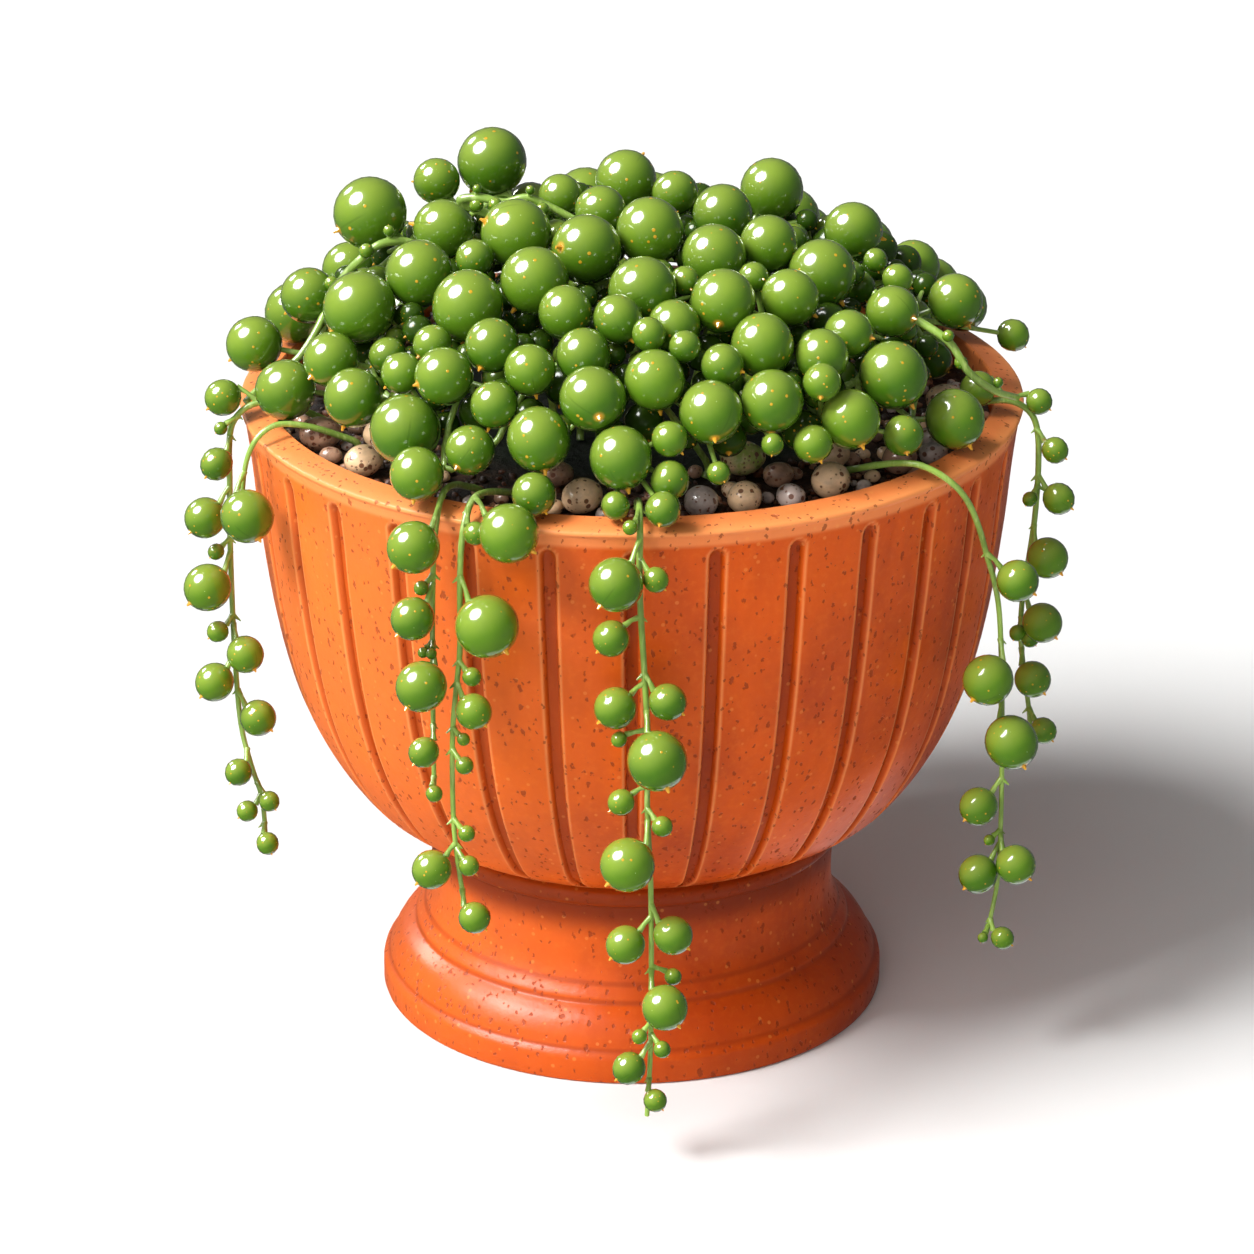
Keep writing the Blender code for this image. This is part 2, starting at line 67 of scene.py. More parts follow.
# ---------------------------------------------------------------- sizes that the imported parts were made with
FOOT_RADIUS = 0.0396
FOOT_HEIGHT = 0.030
NECK_RADIUS = 0.0318
WALL = 0.0045
FLUTES = 30
FLUTE_DEPTH = 0.0012
DRAIN_RADIUS = 0.004
SOIL_BELOW_RIM = 0.0045
SOIL_CROWN = 0.0025
SEAT_GAP = 0.0003
STEM_RADIUS = 0.0006
PETIOLE_LENGTH = 0.0006
PEARL_GAP = 0.0004
MOUND_CENTRE = 0.006
STEM_DEPTH = 0.0074
CREEPER_SINK = 0.012  # how far under the mound's middle the point lies that the creeping stems are drawn to
DRIFT = 0.020  # how far two pearls that may come to touch lie apart at most
PERCENT_AT_RIM = 98.5  # height of a trailing stem's point above which it is told in mm from the rim
RIM_DEPTH = 0.016  # how far under the rim a hanging pearl still has to clear it
MOUND_FOOT = 0.010  # how far under the rim mound pearls may meet hanging ones
STEM_TOP = 0.005  # how far under the rim they may meet trailing stems
RIM_MARGIN = 0.008  # width inside the wall where mound pearls stay above the rim
PLUMP = 1.035  # how much fuller the mound's leaves are than their packed balls
PAINTED_LIGHT_FROM = Vector((-0.42, -0.25, 0.87))  # direction of the light painted into the leaves' colour: paler facing it, darker facing away
FOOT_CREASES = (0.0052, 0.0113, 0.0138)  # heights of the painted shade lines in the creases between the foot's mouldings
FOOT_TOP = 0.010
NECK_BOTTOM = 0.020
CREASE_HALF_WIDTH = 0.0006
CRUMB_SPREAD = (0.38, 0.965)  # squares of the least and largest share of the soil's radius
SETTLE_ROUNDS = 400
SETTLE_PUSH = 0.52  # share of an overlap that each of the two pearls gives way by
SETTLED = 0.02 * MM  # overlap that is left as it is
SHELL_RISE = 0.029
HIDDEN_REACH = 0.78  # share of the rim's radius that leaves deep in the mound spread over
HIDDEN_DEPTH = (3.5, 11.0)  # mm under the big pearls' middles
HIDDEN_RADIUS = (1.6, 3.2)  # mm

# ---------------------------------------------------------------- the mound of pearls
# bearing, reach as a percentage of the rim's radius, rise above the rim in mm, diameter in mm
MOUND = [
    (-133, 50, 29, 10.5), (-90, 8, 28, 7.6), (15, 17, 28, 10.0), (-121, 58, 27, 7.1), (95, 23, 27, 9.1),
    (150, 22, 27, 7.0),
    (-133, 25, 27, 6.6), (-24, 28, 27, 10.3), (-177, 30, 27, 9.3), (-65, 32, 27, 10.4),
    (38, 33, 26, 9.4), (64, 38, 26, 8.5), (127, 45, 26, 9.6), (-101, 68, 25, 10.9), (-31, 47, 25, 9.9),
    (3, 47, 25, 9.8), (-96, 48, 24, 9.0), (63, 53, 23, 10.0), (24, 57, 23, 9.4), (99, 57, 23, 8.8),
    (-16, 57, 23, 7.8), (42, 58, 23, 8.4), (-67, 58, 22, 9.9), (10, 60, 22, 7.6), (-42, 60, 22, 10.5),
    (-6, 62, 22, 7.1), (28, 68, 20, 9.2), (-10, 70, 19, 8.0), (-28, 72, 19, 7.9), (62, 73, 19, 7.7),
    (-66, 73, 19, 10.6), (47, 73, 18, 7.2), (36, 75, 18, 7.9), (-18, 75, 18, 7.5), (4, 78, 17, 8.8),
    (-7, 80, 16, 9.5), (85, 82, 15, 8.3), (-34, 82, 15, 8.4), (-88, 82, 15, 8.4), (14, 83, 14, 9.2),
    (49, 83, 14, 10.0), (22, 83, 14, 9.1), (-22, 85, 13, 6.8), (-61, 85, 13, 8.0), (-15, 87, 11, 9.2),
    (-51, 88, 10, 8.5), (37, 88, 10, 8.7), (-37, 88, 10, 10.3), (-25, 90, 9, 7.2), (-2, 90, 9, 8.9),
    (-86, 96, 8, 8.4), (-70, 92, 6, 9.0), (59, 93, 5, 8.7), (-30, 98, 4, 7.7),
]
BACK_ROWS = [
    (150, 215, 47, 20.5, 11.5),
    (124, 226, 68, 15.5, 11.5),
    (118, 242, 84, 10, 11.5),
    (112, 252, 93, 4.5, 12.5),
]
BACK_DIAMETERS = (7.5, 10)
RINGS = [(5, 0, 48, 12), (8, 48, 76, 34), (10, 76, 200, 58)]
# small pearls that peep out between the big ones, told in the same way
SMALL_MOUND = [
    (18, 42, 25, 4.6), (-60, 45, 25, 5.8), (40, 48, 24, 4.7), (81, 62, 22, 3.8), (78, 68, 20, 4.8),
    (2, 68, 20, 5.2), (17, 72, 19, 6.4), (11, 72, 19, 4.9), (-42, 73, 18, 5.9), (-43, 82, 15, 6.3),
    (28, 83, 14, 5.8), (7, 88, 11, 5.3), (22, 90, 9, 3.5), (29, 90, 8, 5.8), (90, 97, 8, 5.2),
    (5, 92, 6, 5.8), (46, 92, 6, 6.2), (13, 92, 6, 3.6), (-15, 92, 5, 6.5), (4, 100, 3, 5.3),
    (-1, 93, 3, 4.3),
    (222, 60, 15, 7.6), (236, 64, 12, 7.2), (230, 78, 8, 6.8), (243, 74, 6, 6.2), (240, 47, 15, 7.0),
    (251, 60, 11, 6.4), (213, 76, 10, 6.8), (247, 86, 5, 5.4),
    (96, 66, 11, 7.0), (108, 60, 12, 6.8), (104, 74, 7, 6.4), (88, 68, 9, 6.0), (116, 70, 9, 6.6),
    (94, 76, 5, 5.2), (100, 50, 15, 7.0), (80, 64, 10, 5.6), (110, 78, 5, 5.6),
]

# ---------------------------------------------------------------- the trailing stems
# Each has the bearing that its pearls face, if that isn't the front, its route as (bearing, mm outside the
# rim, height as a percentage of the pot's), and its pearls as (height in percent, mm to the side, diameter
# in mm). Above PERCENT_AT_RIM a route's height counts on in mm from the rim.
TRAILING = {
    "strand_left_outer": {
        "route": [(-75, -13, 0), (-75, -8, 101), (-76, -2, 102.2), (-76, 2.2, 99), (-76, 2.8, 90),
                  (-76, 3, 73), (-76, 2.2, 50), (-75, -0.5, 38), (-75, -1, 31)],
        "pearls": [(103, -5.4, 5.6), (94, -1.7, 5.1), (85, -3.6, 6.4), (74, -3.4, 7.3), (63, 1.9, 5.8),
                   (58, -3.2, 6.0), (52, 3.0, 5.7), (43, -1.8, 4.3), (31, 0.5, 3.6)],
        "buds": [(99, -1.6, 2.1), (79, -2.1, 2.6), (66, -2.3, 3.4), (38, 1.4, 3.3), (36, -2.3, 3.4)],
    },
    "strand_left_inner": {
        "route": [(-64, -14, 0), (-65, -8, 101), (-66, -2, 102.2), (-66, 1.8, 99.8), (-67, 3, 95),
                  (-67, 3.4, 91)],
        "pearls": [(90, 1.0, 8.1)],
        "buds": [],
    },
    "strand_front_left": {
        "route": [(-29, -14, 0), (-29, -8, 101), (-28, -2, 102.2), (-27, 2.2, 99), (-27, 3.5, 91),
                  (-27, 4, 75), (-27, 4, 57)],
        "pearls": [(97, -3.0, 7.8), (86, -2.8, 6.5), (76, -1.5, 7.6), (65, -1.3, 4.7), (58, 0.1, 2.6)],
        "buds": [(90, -1.6, 2.3), (80, -1.3, 1.7), (80, -0.1, 1.7)],
    },
    "strand_front_left_long": {
        "route": [(-22, -15, 0), (-22, -8, 101), (-23, -2, 102.2), (-23, 2.2, 99), (-23, 3.6, 91),
                  (-23, 4, 80), (-24, 4.3, 68), (-24, 4.3, 52), (-23, 3.5, 40)],
        "pearls": [(100, 8.0, 8.8), (86, 4.0, 9.4), (72, 2.8, 5.5), (46, -3.9, 5.9), (39, 1.6, 4.9)],
        "buds": [(99, 1.8, 3.6), (77, 2.1, 2.9), (67, 1.6, 2.0), (63, 1.8, 2.8), (52, 1.9, 2.6),
                 (47, 1.7, 3.2)],
    },
    "strand_front_centre": {
        "route": [(1, -15, 0), (1, -8, 101), (1, -2, 102.2), (1, 2.2, 99), (1, 3, 90), (2, 2.6, 70),
                  (2, 2.6, 57), (2.5, 3, 43), (2.5, 3.2, 20), (2, 3.2, 7)],
        "pearls": [(94, -3.4, 8.0), (94, 2.3, 3.9), (84, -4.5, 5.5), (73, -4.5, 6.4), (75, 3.2, 5.6),
                   (67, 1.4, 8.9), (58, -3.8, 4.2), (50, -3.2, 8.2), (36, -3.8, 5.9), (38, 3.2, 5.9),
                   (27, 2.0, 6.9), (16, -3.1, 5.1), (11, 1.0, 3.6)],
        "buds": [(101, -1.4, 2.3), (68, -4.1, 2.5), (55, 2.1, 3.2), (30, 3.2, 2.7), (21, -1.7, 2.4),
                 (19, 1.7, 2.7)],
    },
    "strand_right_inner": {
        "route": [(43, -15, 0), (44, -8, 101), (46, -2, 102.2), (49, 2, 99.5), (53, 2.8, 94), (57, 3, 85),
                  (60, 3.5, 75), (61, 4, 54), (61, 4, 32), (60, 2.6, 21)],
        "pearls": [(82, 3.6, 6.4), (66, -2.3, 7.8), (56, 1.1, 8.2), (44, -3.6, 5.9), (35, 2.3, 6.1),
                   (33, -3.3, 6.1), (22, 2.3, 3.7)],
        "buds": [(38, -1.7, 1.8), (22, -0.7, 1.7)],
    },
    "strand_right_outer": {
        "route": [(75, -14, 0), (76, -8, 101), (77, -2, 102.2), (78, 2.0, 99.5), (78, 3, 93), (78, 2.6, 82),
                  (78, 1.2, 70), (78, 1.2, 62), (78, 2.6, 52), (78, 3, 48)],
        "pearls": [(104, -4.4, 5.6), (102, 4.4, 4.1), (95, 2.4, 4.2), (87, 3.2, 5.0), (78, 2.4, 6.4),
                   (67, 3.0, 6.3), (58, 1.1, 5.7), (49, 1.9, 4.2)],
        "buds": [(87, -1.2, 2.4), (65, -0.7, 2.6), (64, 1.2, 2.8)],
    },
    "strand_back_right": {
        "facing": 150,
        "route": [(148, -14, 0), (149, -8, 101), (150, -2, 102.2), (150, 2.2, 99), (151, 3.2, 88),
                  (152, 3.2, 66), (151, 2.8, 48)],
        "pearls": [(96, -3.2, 7.2), (88, 3.6, 6.2), (79, -3.6, 6.8), (72, 3.0, 5.0), (65, -2.8, 5.6),
                   (59, 2.4, 4.4), (53, -2.0, 3.6), (47, 0.6, 3.4)],
        "buds": [(84, 1.6, 2.4), (69, -1.6, 2.0)],
    },
    "strand_back_centre": {
        "facing": 180,
        "route": [(180, -14, 0), (180, -8, 101), (180, -2, 102.2), (180, 2.4, 99), (179, 4, 88),
                  (178, 4.2, 62), (179, 3.6, 32)],
        "pearls": [(95, 3.4, 6.8), (86, -3.8, 7.4), (77, 3.6, 6.4), (70, -3.0, 5.2), (62, 3.8, 7.2),
                   (54, -3.2, 5.8), (47, 2.8, 4.8), (41, -2.2, 3.8), (31, -0.5, 3.6)],
        "buds": [(36, 1.8, 3.2), (66, -1.8, 2.4)],
    },
    "strand_back_left": {
        "facing": 216,
        "route": [(-144, -14, 0), (-144, -8, 101), (-144, -2, 102.2), (-144, 2.2, 99), (-143, 3.2, 90),
                  (-142, 3.2, 70), (-143, 2.8, 56)],
        "pearls": [(94, 3.2, 6.6), (86, -3.4, 6.2), (78, 3.4, 7.0), (71, -2.6, 4.6), (65, 2.4, 4.6),
                   (56, 0.5, 4.0)],
        "buds": [(75, 1.6, 2.2), (61, -1.8, 2.6)],
    },
}

# stems that arch over the mound: points as (mm to the right, mm behind the middle, height in percent)
ARCHES = [
    [(-20, 2, 126), (-26, 0, 129.4), (-23, -1, 130.4), (-19.4, -1, 129.6), (-16, -1, 130.4), (-13, -1, 129.2),
     (-9.6, -1, 127.4), (-6, 0, 125)],
    [(-30, 4, 117), (-33, 1, 122.2), (-37.5, -1, 123.2), (-41, -2, 121), (-44.5, -2, 117), (-48, -7, 110.8),
     (-51, -10, 107.3), (-56, -10, 103.4), (-58.5, -12, 101.5)],
    [(36, -18, 121), (42, -22, 118.4), (47, -24, 115.4), (50, -25, 111), (54, -22, 107), (58, -14, 103)],
]

# ---------------------------------------------------------------- pebbles on the soil
# bearing, reach as a percentage of the rim's radius, length in mm, turn in degrees, finish
PEBBLES = [
    (-68, 84, 6.8, 20, "brown"), (-63, 71, 5.7, 75, "tan"), (-53, 83, 6.4, 40, "tan"),
    (-43, 81, 6.4, 100, "grey"), (-9, 77, 6.9, 60, "tan"), (-17, 64, 5.4, 10, "brown"),
    (12, 80, 6.2, 95, "grey"), (20, 80, 6.2, 80, "tan"), (28, 82, 5.0, 120, "grey"),
    (31, 70, 5.0, 30, "brown"), (37, 81, 7.0, 70, "tan"), (27, 60, 7.0, 15, "mossy"),
    (47, 68, 5.2, 160, "tan"), (54, 82, 6.2, 65, "brown"), (65, 82, 5.4, 110, "grey"),
    (85, 80, 6.4, 40, "tan"), (105, 80, 7.0, 0, "grey"), (124, 80, 6.0, 60, "tan"),
    (163, 81, 6.6, 90, "brown"), (193, 80, 7.2, 20, "tan"), (230, 80, 6.4, 70, "grey"),
    (250, 81, 6.8, 130, "tan"), (266, 79, 5.8, 15, "brown"),
]
PEBBLE_WIDTH = 0.82
PEBBLE_THICKNESS = 0.74
# gravel between them: bearing, reach in mm, diameter in mm
GRAVEL = [
    (-62, 51, 3.6), (-14, 47, 3.2), (-5, 48, 2.9), (51, 42, 3.0), (55, 42, 2.5), (43, 50, 2.9),
    (55, 51, 2.7), (73, 46, 3.6), (62, 51, 4.5), (16, 34, 2.7), (20, 42, 3.2), (96, 50, 3.2), (115, 48, 3.8),
    (143, 50, 3.4), (176, 49, 3.0), (209, 50, 3.6), (241, 48, 3.1), (259, 51, 2.8), (-80, 51, 3.0),
]
# small stones scattered between those
GRIT_TRIES = 260
GRIT_SIZES = (1.3, 2.8)  # mm
GRIT_REACH = (0.66, 0.92)  # shares of the rim's radius
GRIT_SPACING = 0.46  # of two stones' sizes together
PEBBLE_SLOTS = {"tan": "pebble_tan", "grey": "pebble_grey", "brown": "pebble_rust", "mossy": "pebble_tan"}


# ---------------------------------------------------------------- what a user would change
def colour_setting(name, description, default):
    return FloatVectorProperty(name=name, description=description, subtype="COLOR", size=3, min=0, max=1,
                               default=default)


class PearlsPotSettings(bpy.types.PropertyGroup):
    clay: colour_setting("Clay", "Colour of the fired clay", (0.70, 0.092, 0.0015))
    deep_clay: colour_setting("Deep clay", "Colour of the clay's darker patches", (0.40, 0.038, 0.001))
    flute_width: FloatProperty(name="Flute width", description="Width of a groove at the rim", unit="LENGTH",
                               default=0.0026, min=0.0015, max=0.006)
    edge_radius: FloatProperty(name="Edge radius", description="Rounding of the rim's edges", unit="LENGTH",
                               default=0.0004, min=0.0001, max=0.001)


class PearlsSoilSettings(bpy.types.PropertyGroup):
    earth: colour_setting("Earth", "Colour of the potting soil", (0.030, 0.014, 0.007))
    crumbs: IntProperty(name="Crumbs", description="Number of soil crumbs in the open ring", default=1500,
                        min=0, max=4000)
    tan: colour_setting("Tan stone", "Colour of the light pebbles", (1.0, 0.66, 0.38))
    grey: colour_setting("Grey stone", "Colour of the grey pebbles", (0.56, 0.44, 0.385))
    brown: colour_setting("Brown stone", "Colour of the brown pebbles", (0.48, 0.27, 0.17))


class PearlsPlantSettings(bpy.types.PropertyGroup):
    leaf: colour_setting("Leaf", "Colour of a young leaf", (0.105, 0.225, 0.010))
    old_leaf: colour_setting("Old leaf", "Colour of an old leaf", (0.048, 0.140, 0.006))
    tip: colour_setting("Leaf tip", "Colour of a leaf's dry tip", (0.78, 0.38, 0.03))
    stem: colour_setting("Stem", "Colour of the stems", (0.30, 0.48, 0.075))
    stalk_radius: FloatProperty(name="Stalk radius", description="Radius of a leaf's stalk", unit="LENGTH",
                                default=0.00034, min=0.0001, max=0.001)
    fillers: IntProperty(name="Hidden leaves", description="Tries at placing small leaves deep in the mound",
                         default=6500, min=0, max=20000)


class PearlsStageSettings(bpy.types.PropertyGroup):
    floor: colour_setting("Floor", "Colour of the floor", (0.80, 0.80, 0.79))
    key: FloatProperty(name="Key light", description="Strength of the main light", default=4.5, min=0, max=20)
    fill: FloatProperty(name="Fill light", description="Strength of the light from all round", default=0.14,
                        min=0, max=5)
    lens: FloatProperty(name="Lens", description="The camera's focal length in mm", default=159.7, min=20,
                        max=400)


# ---------------------------------------------------------------- shared helpers
def at(bearing, reach, height):
    turn = math.radians(bearing)
    return Vector((reach * math.sin(turn), -reach * math.cos(turn), height))


def bearing_of(place):
    return math.degrees(math.atan2(place.x, -place.y))


def pointing(way):
    """The turn that points a shape's Z along a direction."""
    return way.to_track_quat("Z", "Y").to_matrix().to_4x4()


def smooth_step(value):
    held = min(1.0, max(0.0, value))
    return held * held * (3 - 2 * held)


def smooth_route(points, pieces):
    """Points along one smooth curve through the given ones, with so many pieces between neighbours."""
    ends = [2 * points[0] - points[1], *points, 2 * points[-1] - points[-2]]
    route = []
    for before, here, there, after in zip(ends, ends[1:], ends[2:], ends[3:]):
        for step in range(pieces):
            t = step / pieces
            bend = 2 * before - 5 * here + 4 * there - after
            swing = 3 * here - before - 3 * there + after
            route.append(0.5 * (2 * here + (there - before) * t + bend * t**2 + swing * t**3))
    return [*route, points[-1]]


def in_scene(name, data):
    """A new object in the scene that holds the given data."""
    holder = bpy.data.objects.new(name, data)
    bpy.context.scene.collection.objects.link(holder)
    return holder


def place_piece(name, shape, finishes, slot, nodes=()):
    """Puts a bmesh in the scene as one piece of the plant pot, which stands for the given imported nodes."""
    mesh = as_mesh(name, shape)
    for finish in finishes:
        mesh.materials.append(finish)
    mesh.shade_smooth()
    mesh.set_sharp_from_angle(angle=math.radians(50))
    piece = in_scene(name, mesh)
    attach(piece, "root")
    if nodes:
        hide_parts(*nodes)
    return piece


def spun(profile, columns, angle=360, closed=True):
    """Spins an outline of (radius, height) points about the vertical axis, by an angle or all the way."""
    shape = bmesh.new()
    corners = [shape.verts.new((radius, 0, height)) for radius, height in profile]
    ends = corners[1:] + corners[:1] if closed else corners[1:]
    edges = [shape.edges.new((a, b)) for a, b in zip(corners, ends)]
    bmesh.ops.spin(shape, geom=corners + edges, cent=(0, 0, 0), axis=(0, 0, 1), angle=math.radians(angle),
                   steps=columns, use_merge=angle == 360, use_duplicate=False)
    return shape


def sealed(shape):
    """Closes a turned shape's seams and turns its faces outwards."""
    bmesh.ops.remove_doubles(shape, verts=shape.verts, dist=1e-6)
    bmesh.ops.recalc_face_normals(shape, faces=shape.faces)
    return shape


def as_mesh(name, shape):
    """Turns a bmesh into a mesh."""
    mesh = bpy.data.meshes.new(name)
    shape.to_mesh(mesh)
    shape.free()
    return mesh


def add_copy(shape, mesh, place, shade=None):
    """Adds a copy of a mesh to a bmesh, put in place by a matrix, with a tone of its own."""
    copy = mesh.copy()
    copy.transform(place)
    if shade is not None:
        copy.attributes["tone"].data.foreach_set("value", [shade] * len(copy.vertices))
    shape.from_mesh(copy)
    bpy.data.meshes.remove(copy)


def add_tubes(shape, routes):
    """Adds round tubes to a bmesh, each a list of (point, radius), with closed ends."""
    curve = bpy.data.curves.new("tubes", "CURVE")
    curve.dimensions = "3D"
    curve.bevel_depth = 1.0
    curve.bevel_resolution = 2
    curve.use_fill_caps = True
    for route in routes:
        spline = curve.splines.new("POLY")
        spline.points.add(len(route) - 1)
        for spot, (place, radius) in zip(spline.points, route):
            spot.co = (*place, 1)
            spot.radius = radius
    holder = in_scene("tubes", curve)
    bpy.context.view_layer.update()
    mesh = bpy.data.meshes.new_from_object(holder.evaluated_get(bpy.context.evaluated_depsgraph_get()))
    shape.from_mesh(mesh)
    bpy.data.objects.remove(holder)
    bpy.data.curves.remove(curve)
    bpy.data.meshes.remove(mesh)


# ---------------------------------------------------------------- shader building
class Value:
    """A shader socket that takes part in sums: each operator adds one Math node."""

    def __init__(self, finish, socket):
        self.finish = finish
        self.socket = socket

    def out(self, name):
        return Value(self.finish, self.socket.node.outputs[name])

    def maths(self, operation, *others):
        inputs = dict(enumerate((self, *others)))
        return self.finish.node("Math", {"operation": operation}, inputs)

    def __add__(self, other):
        return self.maths("ADD", other)

    def __mul__(self, other):
        return self.maths("MULTIPLY", other)

    def __sub__(self, other):
        return self.maths("SUBTRACT", other)

    def __rsub__(self, other):
        return self.finish.node("Math", {"operation": "SUBTRACT"}, {0: other, 1: self})

    def __gt__(self, other):
        return self.maths("GREATER_THAN", other)

    __radd__ = __add__
    __rmul__ = __mul__


class Finish:
    """One material: a Principled shader whose varying inputs come from a few nodes."""

    def __init__(self, name, **fixed):
        self.material = bpy.data.materials.new(name)
        self.material.use_nodes = True
        self.tree = self.material.node_tree
        self.shader = self.tree.nodes["Principled BSDF"]
        for socket, value in fixed.items():
            self.shader.inputs[socket.replace("_", " ").title().replace("Ior", "IOR")].default_value = value

    def node(self, kind, settings, inputs, output=0):
        made = self.tree.nodes.new("ShaderNode" + kind)
        for name, value in settings.items():
            setattr(made, name, value)
        for socket, value in inputs.items():
            if isinstance(value, Value):
                self.tree.links.new(value.socket, made.inputs[socket])
            else:
                made.inputs[socket].default_value = value
        return Value(self, made.outputs[output])

    def feed(self, socket, value):
        self.tree.links.new(value.socket, self.shader.inputs[socket])

    def place(self):
        return self.node("TexCoord", {}, {}, "Object")

    def stretched(self, vector, by):
        return self.node("VectorMath", {"operation": "MULTIPLY"}, {0: vector, 1: by})

    def attribute(self, name, output="Fac"):
        return self.node("Attribute", {"attribute_name": name}, {}, output)

    def noise(self, vector, scale, detail=3.0, roughness=0.55):
        return self.node("TexNoise", {}, {"Vector": vector, "Scale": scale, "Detail": detail,
                                          "Roughness": roughness})

    def ramp(self, value, low, high):
        """0 below low and 1 above high, smooth between; low may be the larger one."""
        return self.node("MapRange", {"interpolation_type": "SMOOTHSTEP"},
                         {"Value": value, "From Min": low, "From Max": high, "To Min": 0.0, "To Max": 1.0})

    def blend(self, factor, first, second, how="MIX"):
        colours = {6: first, 7: second}
        colours = {socket: (*c, 1) if isinstance(c, (tuple, list)) else c for socket, c in colours.items()}
        return self.node("Mix", {"data_type": "RGBA", "blend_type": how}, {0: factor, **colours}, 2)

    def finished(self, body, roughness, height, distance, strength):
        """The material, with its colour, its roughness and bumps of a height fed in."""
        self.feed("Base Color", body)
        self.feed("Roughness", roughness)
        bump = self.node("Bump", {}, {"Height": height, "Distance": distance, "Strength": strength})
        self.feed("Normal", bump)
        return self.material

    def specks(self, vector, scale, size, share, soft=0.35):
        """Round spots: one in each cell of a pattern, kept in the given share of the cells."""
        cell = self.node("TexVoronoi", {}, {"Vector": vector, "Scale": scale}, "Distance")
        chosen = self.node("SeparateColor", {}, {0: cell.out("Color")})
        spot = self.ramp(cell, size, size * (1 - soft))
        return spot * (chosen > 1 - share)


def colour(value):
    return tuple(value)


def shaded(value, by):
    return tuple(channel * by for channel in value)


# ---------------------------------------------------------------- materials
def clay_finish(settings):
    """Fired clay with kiln specks and cloudy patches. Painted shade darkens its grooves, its neck and the
    creases of its foot, painted highlights lighten its rim band, the flutes' lips and its left side, and it is
    darker towards the bottom of the foot.
    """
    made = Finish("terracotta", specular_ior_level=0.24)
    where = made.place()
    place = made.node("SeparateXYZ", {}, {0: where})
    height = place.out("Z")
    clouds = made.ramp(made.noise(where, 38, 4), 0.36, 0.66)
    streaks = made.ramp(made.noise(made.stretched(where, (1, 1, 0.22)), 160, 3), 0.35, 0.7)
    grain = made.noise(where, 900, 3)
    body = made.blend(clouds * 0.55 + streaks * 0.3, colour(settings.clay), colour(settings.deep_clay))
    body = made.blend(made.ramp(grain, 0.45, 0.8) * 0.16, body, (0.90, 0.22, 0.02))
    # Painted light: the left side, towards the key light, is painted paler and yellower.
    painted_light_side = made.ramp(place.out("X"), 0.25 * RIM_RADIUS, -0.9 * RIM_RADIUS)
    body = made.blend(painted_light_side * 0.6, body, (0.95, 0.225, 0.035))
    # Painted light: the band of the rim above the flutes is painted pale, as if lit.
    rim = made.ramp(height, FLUTE_TOP + 0.0002, FLUTE_TOP + 0.0012)
    body = made.blend(rim * 0.6, body, (1.0, 0.33, 0.10))
    foot = made.ramp(height, FOOT_HEIGHT - 0.006, FOOT_TOP)
    body = made.blend(foot * 0.42, body, shaded(settings.deep_clay, 0.8))
    # Painted shade: dark lines along the creases between the foot's mouldings.
    for crease in FOOT_CREASES:
        line = made.ramp((height - crease).maths("ABSOLUTE"), CREASE_HALF_WIDTH, 0.0001)
        body = made.blend(line * 0.45, body, shaded(settings.deep_clay, 0.6))
    # Painted shade: the neck and the bead under the bowl are painted dark.
    neck = made.ramp(height, FOOT_HEIGHT + 0.003, FOOT_HEIGHT - 0.003)
    neck = neck * made.ramp(height, NECK_BOTTOM, NECK_BOTTOM + 0.0055)
    body = made.blend(neck * 0.85, body, shaded(settings.deep_clay, 0.45))
    # Painted shade: the flutes are painted darker the deeper a point lies in them.
    body = made.blend(made.attribute("groove") * 0.55, body, shaded(settings.deep_clay, 0.62))
    # Painted highlight: pale lines along the flutes' lips and the rim's outer edge.
    body = made.blend(made.attribute("edge") * 0.42, body, (0.95, 0.38, 0.12))
    ragged = made.node("VectorMath", {"operation": "MULTIPLY_ADD"},
                       {0: made.noise(where, 1300, 2).out("Color"), 1: (0.0011, 0.0011, 0.0011), 2: where})
    upright = made.stretched(ragged, (1, 1, 0.55))
    large = made.specks(upright, 520, 0.22, 0.4)
    small = made.specks(upright, 1000, 0.26, 0.6)
    pale = made.specks(where, 600, 0.22, 0.35)
    flecks = (large + small).maths("MINIMUM", 1.0)
    body = made.blend(pale * 0.25, body, (0.90, 0.36, 0.08))
    body = made.blend(flecks * 0.62, body, (0.20, 0.026, 0.003))
    return made.finished(body, 0.33 + clouds * 0.14 + flecks * 0.25,
                         grain * 0.35 + streaks * 0.25 - flecks * 0.9, 0.00022, 0.55)


def earth_finish(settings):
    made = Finish("soil", specular_ior_level=0.3)
    where = made.place()
    lumps = made.noise(where, 420, 5, 0.7)
    grains = made.node("TexVoronoi", {}, {"Vector": where, "Scale": 700.0})
    body = made.blend(made.ramp(lumps, 0.4, 0.68), colour(settings.earth), shaded(settings.earth, 3.2))
    body = made.blend(made.specks(where, 520, 0.3, 0.12), body, (0.20, 0.085, 0.035))
    # Painted shade: the soil under the middle of the mound is painted nearly black.
    reach = made.node("VectorMath", {"operation": "LENGTH"}, {0: made.stretched(where, (1, 1, 0))}, "Value")
    body = made.blend(made.ramp(reach, 0.68 * RIM_RADIUS, 0.5 * RIM_RADIUS), body, (0.006, 0.010, 0.003))
    return made.finished(body, 0.7 + lumps * 0.25, lumps + grains * 0.5, 0.0009, 0.9)


